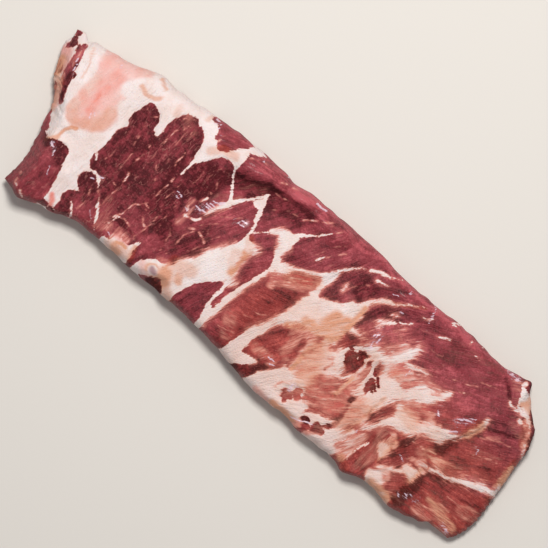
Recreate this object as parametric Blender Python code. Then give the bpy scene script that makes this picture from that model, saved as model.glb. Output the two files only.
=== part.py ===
"""A raw rack of pork spare ribs, trimmed square, lying on its bone side with the meat side up.

The rack is one solid. It is drawn as a slab between four cut edges seen from above, with a top sheet
for the meat side and a bottom sheet for the bone side that meet along the rim. The shoulder end is at
-X, the belly end at +X, the backbone edge at +Y and the brisket edge at -Y.
"""
import math

import bpy
import numpy as np

MM = 0.001

# Usual length and width of the rack between its cut edges, in mm, for spacing the surface.
LENGTH = 440.0
WIDTH = 124.0

# The four edges from above, in mm, as the few points that the trimmed outline turns on.
BACKBONE_EDGE = (
    (-218.5, 44.5), (-212.0, 46.5), (-206.5, 43.0), (-201.0, 46.5), (-190.0, 48.5), (-174.0, 52.5),
    (-160.0, 57.5), (-150.0, 61.0), (-135.0, 60.3), (-106.0, 64.0), (-80.0, 67.0), (-42.0, 67.6),
    (-31.0, 66.4), (-18.0, 68.6), (5.0, 69.6), (45.0, 70.5), (68.0, 67.7), (100.0, 68.8),
    (135.0, 70.4), (163.0, 68.4), (178.0, 71.4), (187.0, 73.6), (192.0, 67.5), (204.0, 56.0),
    (212.0, 50.5),
)
BRISKET_EDGE = (
    (-186.0, -68.3), (-178.0, -70.0), (-170.0, -72.2), (-157.0, -66.4), (-143.0, -62.6),
    (-128.0, -57.0), (-100.0, -55.7), (-75.0, -56.6), (-48.0, -55.0), (-12.0, -55.7), (18.0, -58.6),
    (45.0, -61.8), (72.0, -60.7), (90.0, -62.0), (118.0, -60.0), (130.0, -62.6), (146.0, -56.8),
    (172.0, -58.6), (192.0, -53.0), (200.0, -48.5), (217.0, -48.0),
)
SHOULDER_END = (
    (-186.0, -68.3), (-185.0, -52.0), (-187.0, -38.0), (-192.0, -20.0), (-198.0, -3.0),
    (-208.0, 8.0), (-213.0, 17.0), (-218.7, 31.0), (-217.0, 38.0), (-218.5, 44.5),
)
BELLY_END = (
    (217.0, -48.0), (221.5, -40.0), (224.0, -26.0), (222.8, -10.0), (220.6, 8.0), (218.8, 22.0),
    (218.0, 34.0), (215.0, 44.0), (212.0, 50.5),
)

# Height of the meat side along the rack: thick at the shoulder, thin at the belly.
MEAT_HEIGHT = ((-219.0, 24.0), (-190.0, 27.5), (-150.0, 29.0), (-60.0, 28.0), (70.0, 26.0),
               (150.0, 23.5), (190.0, 20.0), (224.0, 15.0))
EDGE_DROP = 0.15        # share of the height lost from the middle to the long edges
EDGE_DROP_POWER = 3     # how late that loss sets in on the way to the edge
RIM_SHARE = 0.42        # height of the rim, as a share of the height above it

# Rounding of the rim: width of the rounded band in plan, and how square its section is (1 = a bevel).
BACKBONE_ROUND = (11.0, 2.0)
BRISKET_ROUND = (7.0, 2.4)
SHOULDER_ROUND = (15.0, 1.3)
BELLY_ROUND = (7.0, 2.0)

# The ribs cross the rack side by side, fanning out towards the shoulder end. Their backs lie flat on
# the table, and the meat is drawn up between them.
RIBS = 13
RIB_BACK_WAVE = 0.5     # height of the rib wave, from 0 to 1, under which a rib's back is flat
GAP_DEPTH = 2.4
RIB_SWELL = 0.5         # how far each rib shows through on the meat side

# Swellings and hollows of the meat side: path in mm, half width, rise (negative is a hollow). Each one
# fades out at FORM_FADE times its half width.
FORM_FADE = 1.4
FORMS = (
    (((-176.0, -60.0), (-171.0, -36.0)), 17.0, 5.0),                       # shoulder knob
    (((-182.0, -20.0), (-169.0, -18.0), (-159.0, -30.0)), 6.0, -2.0),      # crease round the knob
    (((-170.0, 45.0), (-172.0, 5.0)), 20.0, 1.5),                          # shoulder fat
    (((-138.0, -45.0), (-138.0, 25.0)), 15.0, -2.0),                       # coarse shoulder muscle
    (((-112.0, -40.0), (-111.0, 44.0)), 16.0, -1.6),
    (((-84.0, -30.0), (-82.0, 36.0)), 15.0, -1.8),
    (((-64.0, 57.0), (-38.0, 58.0), (-8.0, 62.0), (16.0, 63.0)), 11.0, 4.5),   # rolled back edge
    (((-62.0, 43.0), (-46.0, 47.0), (-30.0, 51.0), (-10.0, 54.0)), 9.0, -4.5), # hollow under it
    (((-26.0, 12.0), (-38.0, -15.0), (-50.0, -46.0)), 14.0, 2.2),          # broad fat seam
    (((-67.0, -46.0), (-64.0, -44.0)), 10.0, 2.5),                         # cartilage tip
    (((-54.0, -51.0), (-66.0, -57.0)), 6.0, -5.0),                         # notch below the tip
    (((-3.0, -48.0), (10.0, 2.0)), 15.0, 1.6),                             # lean over two ribs
    (((8.0, 30.0), (20.0, 60.0)), 14.0, 1.4),
    (((38.0, 33.0), (50.0, 58.0)), 9.0, -3.4),                             # hollows behind the edge
    (((64.0, 46.0), (84.0, 45.0), (120.0, 53.0), (150.0, 53.0)), 9.0, -2.4),
    (((56.0, 65.0), (120.0, 64.0), (160.0, 64.0)), 9.0, 1.8),              # back edge ridge
    (((84.0, 24.0), (98.0, 34.0)), 14.0, 1.8),
    (((80.0, 5.0), (86.0, -6.0)), 9.0, -3.0),                              # torn spots
    (((101.0, 4.0), (104.0, -8.0)), 8.0, -3.0),
    (((64.0, -48.0), (70.0, -42.0)), 7.0, -2.0),
    (((132.0, -50.0), (136.0, -36.0)), 10.0, -2.6),
    (((166.0, 22.0), (156.0, -6.0)), 14.0, 2.0),                           # belly muscle
    (((183.0, 26.0), (177.0, 6.0), (172.0, -6.0)), 8.0, -2.6),
    (((174.0, -24.0), (196.0, -19.0)), 7.0, -1.8),
    (((188.0, 62.0), (202.0, 53.0), (213.0, 42.0), (219.0, 4.0)), 6.0, 1.6),   # rolled belly rim
)

STEPS_PER_RIB = 6       # faces along the rack for each rib
WIDTH_STEPS = 20        # faces across it between the edge roundings
ROUND_STEPS = 3         # faces round each rim
CURVE_STEPS = 8         # straight pieces between two points of a curve
RIB_LEAN = 0.047        # share of the length that a rib's ends lie before and behind its middle
RIB_LEAN_FADE = 0.16    # share of the length over which the ribs turn parallel to each end

LEAN_COLOUR = (0.33, 0.045, 0.05, 1.0)
LEAN_ROUGHNESS = 0.4


def smooth_curve(points):
    """A Catmull-Rom curve through the points, as closely spaced points."""
    p = np.array(points, dtype=float)
    p = np.vstack([2 * p[0] - p[1], p, 2 * p[-1] - p[-2]])
    t = np.linspace(0.0, 1.0, CURVE_STEPS, endpoint=False)[:, None]
    runs = []
    for a, b, c, d in zip(p, p[1:], p[2:], p[3:]):
        runs.append(0.5 * (2 * b + (c - a) * t + (2 * a - 5 * b + 4 * c - d) * t**2
                           + (3 * b - a - 3 * c + d) * t**3))
    runs.append(p[-2][None, :])
    return np.vstack(runs)


def along(points, shares):
    """Points at the given shares of the length of the smooth curve through `points`."""
    curve = smooth_curve(points)
    gone = np.concatenate([[0.0], np.cumsum(np.hypot(*np.diff(curve, axis=0).T))])
    where = np.asarray(shares) * gone[-1]
    return np.column_stack([np.interp(where, gone, curve[:, 0]), np.interp(where, gone, curve[:, 1])])


def edge_spacing(length, start_round, end_round, steps):
    """Grid shares along one direction, closer round the two rims, with the rim height at each line."""
    turns = np.linspace(0.0, math.pi / 2, ROUND_STEPS + 1)

    def rim(band, square):
        inset = band * (1 - np.cos(turns) ** (2 / square))
        return inset, np.sin(turns) ** (2 / square)

    inset_a, rise_a = rim(*start_round)
    inset_b, rise_b = rim(*end_round)
    middle = np.linspace(start_round[0], length - end_round[0], steps + 1)[1:-1]
    lines = np.concatenate([inset_a, middle, (length - inset_b)[::-1]])
    rise = np.concatenate([rise_a, np.ones(len(middle)), rise_b[::-1]])
    return lines / length, rise


def patch(shares_long, shares_wide):
    """Plan positions of the grid: a Coons patch between the four edges, its cross lines along the ribs."""
    fade = np.clip(np.minimum(shares_long, 1 - shares_long) / RIB_LEAN_FADE, 0.0, 1.0)
    lean = RIB_LEAN * fade**2 * (3 - 2 * fade)
    low, high = along(BRISKET_EDGE, shares_long - lean), along(BACKBONE_EDGE, shares_long + lean)
    left, right = along(SHOULDER_END, shares_wide), along(BELLY_END, shares_wide)
    s, t = shares_long[:, None, None], shares_wide[None, :, None]
    ruled = (1 - t) * low[:, None] + t * high[:, None] + (1 - s) * left[None] + s * right[None]
    corners = ((1 - s) * (1 - t) * low[0] + s * (1 - t) * low[-1]
               + (1 - s) * t * high[0] + s * t * high[-1])
    return ruled - corners


def path_distance(x, y, path):
    """Distance in mm from each grid point to a path of straight pieces."""
    nearest = np.full(x.shape, np.inf)
    for (ax, ay), (bx, by) in zip(path, path[1:]):
        dx, dy = bx - ax, by - ay
        u = np.clip(((x - ax) * dx + (y - ay) * dy) / (dx * dx + dy * dy), 0.0, 1.0)
        nearest = np.minimum(nearest, np.hypot(x - ax - u * dx, y - ay - u * dy))
    return nearest


def rib_wave(shares_long):
    """0 along the middle of each rib's back, 1 halfway between two ribs."""
    return 0.5 + 0.5 * np.cos(2 * math.pi * RIBS * shares_long)


def meat_side(x, y, across, wave):
    """Height of the meat side away from the rim; `across` runs from -1 to 1 over the width."""
    line = smooth_curve(MEAT_HEIGHT)
    height = np.interp(x, line[:, 0], line[:, 1]) * (1 - EDGE_DROP * np.abs(across) ** EDGE_DROP_POWER)
    height += RIB_SWELL * (1 - 2 * wave)
    for path, half_width, rise in FORMS:
        near = np.clip(1 - (path_distance(x, y, path) / (FORM_FADE * half_width)) ** 2, 0.0, 1.0)
        height += rise * near**2
    return height


def bone_side(wave):
    """Height of the bone side: zero on the flat back of each rib, arched between ribs."""
    gap = (wave - RIB_BACK_WAVE) / (1 - RIB_BACK_WAVE)
    return GAP_DEPTH * np.clip(gap, 0.0, 1.0)


def rack_mesh():
    """The closed mesh: a top and a bottom sheet on the same grid, sharing the rim."""
    shares_long, rise_long = edge_spacing(LENGTH, SHOULDER_ROUND, BELLY_ROUND, RIBS * STEPS_PER_RIB)
    shares_wide, rise_wide = edge_spacing(WIDTH, BRISKET_ROUND, BACKBONE_ROUND, WIDTH_STEPS)
    plan = patch(shares_long, shares_wide)
    x, y = plan[..., 0], plan[..., 1]
    rise = rise_long[:, None] * rise_wide[None, :]
    wave = rib_wave(shares_long)[:, None]
    top = meat_side(x, y, 2 * shares_wide[None, :] - 1, wave)
    rim = RIM_SHARE * top
    heights = (rim + (top - rim) * rise, rim + (bone_side(wave) - rim) * rise)

    middle = (plan.reshape(-1, 2).min(axis=0) + plan.reshape(-1, 2).max(axis=0)) / 2
    rows, columns = x.shape
    verts, numbers = [], []
    for sheet, height in enumerate(heights):
        index = np.zeros((rows, columns), dtype=int)
        for i in range(rows):
            for j in range(columns):
                on_rim = i in (0, rows - 1) or j in (0, columns - 1)
                if sheet == 1 and on_rim:
                    index[i, j] = numbers[0][i, j]
                    continue
                index[i, j] = len(verts)
                verts.append(((x[i, j] - middle[0]) * MM, (y[i, j] - middle[1]) * MM,
                              height[i, j] * MM))
        numbers.append(index)

    faces = []
    for sheet, index in enumerate(numbers):
        for i in range(rows - 1):
            for j in range(columns - 1):
                ring = (index[i, j], index[i + 1, j], index[i + 1, j + 1], index[i, j + 1])
                faces.append([int(n) for n in (ring if sheet == 0 else ring[::-1])])
    mesh = bpy.data.meshes.new("rib_rack")
    mesh.from_pydata(verts, [], faces)
    mesh.validate()
    mesh.shade_smooth()
    return mesh


def lean_material():
    """Raw lean pork, wet and dark red."""
    material = bpy.data.materials.new("raw_meat")
    material.use_nodes = True
    shader = material.node_tree.nodes["Principled BSDF"]
    shader.inputs["Base Color"].default_value = LEAN_COLOUR
    shader.inputs["Roughness"].default_value = LEAN_ROUGHNESS
    shader.inputs["Metallic"].default_value = 0.0
    return material


for old in list(bpy.data.objects):
    bpy.data.objects.remove(old, do_unlink=True)

rack = bpy.data.objects.new("rib_rack", rack_mesh())
rack.data.materials.append(lean_material())
bpy.context.collection.objects.link(rack)
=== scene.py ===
import math

import bpy
import numpy as np
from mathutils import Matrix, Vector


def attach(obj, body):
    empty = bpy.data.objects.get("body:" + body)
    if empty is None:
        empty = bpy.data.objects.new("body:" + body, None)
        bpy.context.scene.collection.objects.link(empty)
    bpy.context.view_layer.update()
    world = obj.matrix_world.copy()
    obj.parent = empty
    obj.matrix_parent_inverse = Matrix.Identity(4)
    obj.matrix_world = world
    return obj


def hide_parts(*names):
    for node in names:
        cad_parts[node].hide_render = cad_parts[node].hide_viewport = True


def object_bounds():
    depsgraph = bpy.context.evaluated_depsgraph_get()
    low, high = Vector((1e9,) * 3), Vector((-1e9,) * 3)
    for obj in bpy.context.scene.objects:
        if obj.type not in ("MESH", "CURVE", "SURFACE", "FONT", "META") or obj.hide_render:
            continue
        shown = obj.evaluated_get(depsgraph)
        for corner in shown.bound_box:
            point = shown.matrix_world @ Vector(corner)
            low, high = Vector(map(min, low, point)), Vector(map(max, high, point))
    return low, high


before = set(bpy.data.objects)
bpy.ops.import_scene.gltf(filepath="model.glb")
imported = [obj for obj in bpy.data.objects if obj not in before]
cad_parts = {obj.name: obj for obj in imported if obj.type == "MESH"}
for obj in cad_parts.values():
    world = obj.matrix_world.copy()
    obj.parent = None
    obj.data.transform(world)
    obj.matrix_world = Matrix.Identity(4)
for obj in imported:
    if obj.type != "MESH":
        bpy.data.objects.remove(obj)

cad_low, cad_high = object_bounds()
MM = 0.001

# ---------------------------------------------------------------------------------------------------
# The trimmed slab. A side of spare ribs is squared off with four knife and saw cuts: the backbone edge,
# the brisket edge, and the two ends. What is left lies on the flat backs of its ribs, meat side up.
# ---------------------------------------------------------------------------------------------------
LENGTH = 440.0
WIDTH = 124.0
# the four cuts, as points of x and y in mm
BACKBONE_EDGE = (
    (-218.5, 44.5), (-212, 46.5), (-206.5, 43), (-201, 46.5), (-190, 48.5), (-174, 52.5),
    (-160, 57.5), (-150, 61), (-135, 60.3), (-106, 64), (-80, 67), (-42, 67.6),
    (-31, 66.4), (-18, 68.6), (5, 69.6), (45, 70.5), (68, 67.7), (100, 68.8),
    (135, 70.4), (163, 68.4), (178, 71.4), (187, 73.6), (192, 67.5), (204, 56),
    (212, 50.5),
)
BRISKET_EDGE = (
    (-186, -68.3), (-178, -70), (-170, -72.2), (-157, -66.4), (-143, -62.6),
    (-128, -57), (-100, -55.7), (-75, -56.6), (-48, -55), (-12, -55.7), (18, -58.6),
    (45, -61.8), (72, -60.7), (90, -62), (118, -60), (130, -62.6), (146, -56.8),
    (172, -58.6), (192, -53), (200, -48.5), (217, -48),
)
SHOULDER_END = (
    (-186, -68.3), (-185, -52), (-187, -38), (-192, -20), (-198, -3),
    (-208, 8), (-213, 17), (-218.7, 31), (-217, 38), (-218.5, 44.5),
)
BELLY_END = (
    (217, -48), (221.5, -40), (224, -26), (222.8, -10), (220.6, 8), (218.8, 22),
    (218, 34), (215, 44), (212, 50.5),
)
# how high the meat lies along the rack: x and height, mm
MEAT_HEIGHT = ((-219, 24), (-190, 27.5), (-150, 29), (-60, 28), (70, 26),
               (150, 23.5), (190, 20), (224, 15))
EDGE_DROP = 0.15        # share of the height lost from the middle to the long edges
EDGE_DROP_POWER = 3     # how late that loss sets in on the way to the edge
RIM_SHARE = 0.42        # height of the rim, as a share of the height above it
# how far each edge's rounding reaches in, mm, and how square it is
BACKBONE_ROUND = (11, 2)
BRISKET_ROUND = (7, 2.4)
SHOULDER_ROUND = (15, 1.3)
BELLY_ROUND = (7, 2)
RIBS = 13
RIB_BACK_WAVE = 0.5     # height of the rib wave, from 0 to 1, under which a rib's back is flat
GAP_DEPTH = 2.4         # how far the meat is drawn up between the ribs
RIB_SWELL = 0.5         # how far each rib shows through on the meat side
RIB_LEAN = 0.047        # share of the length that a rib's ends lie before and behind its middle
RIB_LEAN_FADE = 0.16    # share of the length over which the ribs turn parallel to each end
# swells and hollows: a path's points as x, y, x, y and so on, then half width and rise, mm
FORM_FADE = 1.4         # each one fades out at this many times its half width
FORMS = (
    (-176, -60, -171, -36, 17, 5), (-182, -20, -169, -18, -159, -30, 6, -2), (-170, 45, -172, 5, 20, 1.5),
    (-138, -45, -138, 25, 15, -2), (-112, -40, -111, 44, 16, -1.6), (-84, -30, -82, 36, 15, -1.8),
    (-64, 54, -38, 58, -8, 62, 16, 63, 11, 4.5), (-62, 38, -46, 45, -30, 51, -10, 54, 9, -4.5),
    (-26, 12, -38, -15, -50, -46, 14, 2.2), (-67, -46, -64, -44, 10, 2.5), (-54, -51, -66, -57, 6, -5),
    (-3, -48, 10, 2, 15, 1.6), (8, 30, 20, 60, 14, 1.4), (38, 33, 50, 58, 9, -3.4),
    (64, 46, 84, 45, 120, 53, 150, 53, 9, -2.4), (56, 65, 120, 64, 160, 64, 9, 1.8),
    (84, 24, 98, 34, 14, 1.8), (80, 5, 86, -6, 9, -3), (101, 4, 104, -8, 8, -3), (64, -48, 70, -42, 7, -2),
    (132, -50, 136, -36, 10, -2.6), (166, 22, 156, -6, 14, 2), (183, 26, 177, 6, 172, -6, 8, -2.6),
    (174, -24, 196, -19, 7, -1.8), (188, 62, 202, 53, 213, 42, 219, 4, 6, 1.6), (187, 69, 187, 71, 4, 2),
    (203, 57, 206, 54, 3, 2), (212, 48, 213, 44, 4, 2.4), (217, 38, 218, 34, 3, 2),
)
LENGTH_STEPS = 446      # faces along the rack between its two rims
WIDTH_STEPS = 144       # faces across it
ROUND_STEPS = 8         # faces round each rim
EDGE_WOBBLE = 0.55      # how far the knife wandered off the trimmed line, mm
EDGE_WOBBLE_RUN = 6.0   # over what distance


def pairs(numbers):
    """The points of a path that is written as x, y, x, y and so on."""
    return list(zip(numbers[0::2], numbers[1::2]))


def smooth_curve(points, steps=8, closed=False):
    """A Catmull-Rom curve through the points, as closely spaced points."""
    p = np.array(points, dtype=float)
    p = np.vstack([p[-1:], p, p[:2]]) if closed else np.vstack([2 * p[0] - p[1], p, 2 * p[-1] - p[-2]])
    t = np.linspace(0.0, 1.0, steps, endpoint=False)[:, None]
    runs = []
    for a, b, c, d in zip(p, p[1:], p[2:], p[3:]):
        runs.append(0.5 * (2 * b + (c - a) * t + (2 * a - 5 * b + 4 * c - d) * t**2
                           + (3 * b - a - 3 * c + d) * t**3))
    runs.append(p[-2][None, :])
    return np.vstack(runs)


def rough(x, y, run_x, run_y, seed):
    """Smooth random heights from -1 to 1, with bumps `run_x` by `run_y` mm in size."""
    table = np.random.default_rng(seed).uniform(-1.0, 1.0, (256, 256))
    u, v = np.asarray(x) / run_x + 640.0, np.asarray(y) / run_y + 640.0
    i, j = np.floor(u).astype(int), np.floor(v).astype(int)
    fu, fv = u - i, v - j
    fu, fv = fu * fu * (3 - 2 * fu), fv * fv * (3 - 2 * fv)
    i, j, i2, j2 = i % 256, j % 256, (i + 1) % 256, (j + 1) % 256
    low = table[i, j] * (1 - fu) + table[i2, j] * fu
    high = table[i, j2] * (1 - fu) + table[i2, j2] * fu
    return low * (1 - fv) + high * fv


def along(points, shares):
    """Points at the given shares of the length of the smooth curve through `points`."""
    curve = smooth_curve(points)
    gone = np.concatenate([[0.0], np.cumsum(np.hypot(*np.diff(curve, axis=0).T))])
    where = np.asarray(shares) * gone[-1]
    return np.column_stack([np.interp(where, gone, curve[:, 0]), np.interp(where, gone, curve[:, 1])])


def knife_cut(points, shares, outward, seed):
    """The edge curve with the knife's small wanderings, which fade out at the corners."""
    cut = along(points, shares)
    fade = np.clip(np.minimum(shares, 1 - shares) * 30.0, 0.0, 1.0)
    wander = rough(shares * LENGTH, 0.0 * shares, EDGE_WOBBLE_RUN, 1.0, seed)
    return cut + (EDGE_WOBBLE * fade * wander)[:, None] * np.array(outward)


def edge_spacing(length, start_round, end_round, steps):
    """Grid shares along one direction, closer round the two rims, with the rim height at each line."""
    turns = np.linspace(0.0, math.pi / 2, ROUND_STEPS + 1)

    def rim(band, square):
        inset = band * (1 - np.cos(turns) ** (2 / square))
        return inset, np.sin(turns) ** (2 / square)

    inset_a, rise_a = rim(*start_round)
    inset_b, rise_b = rim(*end_round)
    middle = np.linspace(start_round[0], length - end_round[0], steps + 1)[1:-1]
    lines = np.concatenate([inset_a, middle, (length - inset_b)[::-1]])
    rise = np.concatenate([rise_a, np.ones(len(middle)), rise_b[::-1]])
    return lines / length, rise


def patch_plan(shares_long, shares_wide):
    """Plan positions of the grid: a Coons patch between the four cuts, its cross lines along the ribs."""
    fade = np.clip(np.minimum(shares_long, 1 - shares_long) / RIB_LEAN_FADE, 0.0, 1.0)
    lean = RIB_LEAN * fade**2 * (3 - 2 * fade)
    low = knife_cut(BRISKET_EDGE, shares_long - lean, (0.0, 1.0), 1)
    high = knife_cut(BACKBONE_EDGE, shares_long + lean, (0.0, 1.0), 2)
    left = knife_cut(SHOULDER_END, shares_wide, (1.0, 0.0), 3)
    right = knife_cut(BELLY_END, shares_wide, (1.0, 0.0), 4)
    s, t = shares_long[:, None, None], shares_wide[None, :, None]
    ruled = (1 - t) * low[:, None] + t * high[:, None] + (1 - s) * left[None] + s * right[None]
    corners = ((1 - s) * (1 - t) * low[0] + s * (1 - t) * low[-1]
               + (1 - s) * t * high[0] + s * t * high[-1])
    return ruled - corners


def path_distance(px, py, path):
    """Distance in mm from each point to a path, how far along its nearest place is, and on which side."""
    nearest = np.full(px.shape, np.inf)
    share, side = np.zeros(px.shape), np.ones(px.shape)
    pieces = len(path) - 1
    for n in range(pieces):
        (ax, ay), (bx, by) = path[n], path[n + 1]
        dx, dy = bx - ax, by - ay
        u = np.clip(((px - ax) * dx + (py - ay) * dy) / max(dx * dx + dy * dy, 1e-9), 0.0, 1.0)
        gap = np.hypot(px - ax - u * dx, py - ay - u * dy)
        closer = gap < nearest
        nearest = np.where(closer, gap, nearest)
        share = np.where(closer, (n + u) / pieces, share)
        side = np.where(closer, np.where((py - ay) * dx > (px - ax) * dy, 1.0, -1.0), side)
    return nearest, share, side


shares_long, rise_long = edge_spacing(LENGTH, SHOULDER_ROUND, BELLY_ROUND, LENGTH_STEPS)
shares_wide, rise_wide = edge_spacing(WIDTH, BRISKET_ROUND, BACKBONE_ROUND, WIDTH_STEPS)
plan = patch_plan(shares_long, shares_wide)
x, y = plan[..., 0], plan[..., 1]
rows, columns = x.shape
rise = rise_long[:, None] * rise_wide[None, :]
rib_wave = (0.5 + 0.5 * np.cos(2 * math.pi * RIBS * shares_long))[:, None] * np.ones((1, columns))

height_line = smooth_curve(MEAT_HEIGHT)
across = np.abs(2 * shares_wide[None, :] - 1)
meat_top = np.interp(x, height_line[:, 0], height_line[:, 1]) * (1 - EDGE_DROP * across**EDGE_DROP_POWER)
meat_top += RIB_SWELL * (1 - 2 * rib_wave)
for *path, half_width, form_rise in FORMS:
    near = np.clip(1 - (path_distance(x, y, pairs(path))[0] / (FORM_FADE * half_width)) ** 2, 0.0, 1.0)
    meat_top += form_rise * near**2
rim_height = RIM_SHARE * meat_top

# ---------------------------------------------------------------------------------------------------
# Lean and fat on the meat side. Each muscle was cut across or peeled, so it shows as a red field with
# a crisp, often scalloped border, parted from the next by white seam fat of its own width.
# ---------------------------------------------------------------------------------------------------
FAR = 8.0               # distances from a border are followed this far, mm
FAT_WELD = 0.5          # how readily neighbouring pieces of fat run together, mm
MUSCLES = (
    # strip of muscle in the shoulder end's cut face, and the face below it
    ((-206.8, 40), (-204.2, 41.5), (-203, 37), (-200.5, 31), (-197.6, 21.5), (-195.2, 20.7),
     (-195.2, 15), (-193.8, 8), (-190.6, 0.5), (-191.8, -3.5), (-194.5, -1), (-198, 4),
     (-201.5, 9), (-205, 16), (-206.5, 28), (-207.4, 34)),
    ((-194, -10), (-191.5, -12.5), (-189, -15), (-187.5, -19), (-185, -20), (-186, -24.5), (-183.5, -24),
     (-182.5, -27), (-181, -27), (-183, -36), (-187, -44), (-194, -38), (-198, -22)),
    ((-205.5, 6), (-202.5, 6.5), (-200, 2), (-198, -3), (-195.3, -8), (-194, -12), (-196, -16), (-202, -5)),
    # flap at the tip
    ((-220, 46), (-213.6, 46), (-213.4, 42), (-217, 41.2), (-220, 42)),
    ((-217.4, 40.5), (-214, 40.4), (-211.5, 38.4), (-208.8, 36.8), (-210.2, 34), (-213, 31),
     (-216, 29.7), (-216.4, 33), (-214.8, 35), (-217.4, 37)),
    ((-214.5, 21), (-210, 20.3), (-207.5, 18.5), (-205.6, 15), (-207, 12.5), (-209, 10), (-212, 10)),
    # shoulder knob
    ((-181, -27), (-176, -23), (-170, -21.6), (-164, -22.6), (-161.8, -28),
     (-160, -35), (-157.6, -42), (-156.2, -50), (-155.4, -58), (-156, -64),
     (-162, -74), (-172, -78), (-190, -76), (-192, -60), (-190, -42),
     (-186, -32)),
    # coarse shoulder muscle, with its three fingers
    ((-145.5, 37), (-143, 41), (-138, 40.5), (-133.5, 38), (-131, 34), (-130, 29.5),
     (-127, 25.5), (-124.8, 26), (-124.6, 33), (-124.5, 40), (-122.5, 47), (-119.5, 51.5),
     (-116, 53), (-112, 54.8), (-108.5, 51.5), (-104, 51), (-100.5, 47.5), (-97.5, 42),
     (-96, 36), (-95, 28), (-94.6, 19), (-93.8, 19), (-93.3, 28), (-91, 31),
     (-88.5, 35), (-85, 40), (-81, 45), (-77, 47.3), (-72, 47), (-68, 44.5),
     (-60, 44), (-50, 0), (-50, -40), (-62, -39), (-66, -38.6), (-70, -40.5),
     (-74, -45.5), (-76.5, -51), (-78, -60), (-82, -60), (-82.3, -53), (-83.6, -47), (-84.2, -42),
     (-83.2, -37.4), (-85, -38.2), (-87, -42.5), (-90, -44.6), (-96, -44.4), (-100, -46),
     (-101, -49.5), (-104, -51), (-107, -51), (-108, -58), (-112, -66),
     (-147, -68), (-149, -61.5), (-146, -59), (-145.5, -54), (-147.5, -49),
     (-146.5, -43.5), (-143.5, -41.5), (-140.5, -39.5), (-144, -37), (-147, -33),
     (-146.6, -27), (-143.5, -23.5), (-147.6, -19.5), (-149, -14), (-148.6, -8),
     (-148, -1), (-148, 7), (-147, 14), (-145.2, 18), (-147.6, 22), (-147.6, 28),
     (-146, 33)),
    # lean along the top edge
    ((-105, 63.2), (-103, 72), (-70, 74), (-69, 64), (-72.5, 61), (-76, 58),
     (-79, 52.5), (-83, 49), (-87, 47.3), (-90, 49.5), (-91.5, 52), (-93.5, 51.5),
     (-95, 57), (-97.5, 60), (-104, 61)),
    ((-137, 60.6), (-131, 60.2), (-125, 61.4), (-126, 66), (-137, 66)),
    # everything from the rolled back edge to the belly end
    ((-68, 80), (-67.5, 58), (-68, 46), (-66, 30), (-60, 10), (-60, -50),
     (-60, -80), (80, -90), (240, -80), (250, 0), (240, 80), (80, 90)),
)
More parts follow.
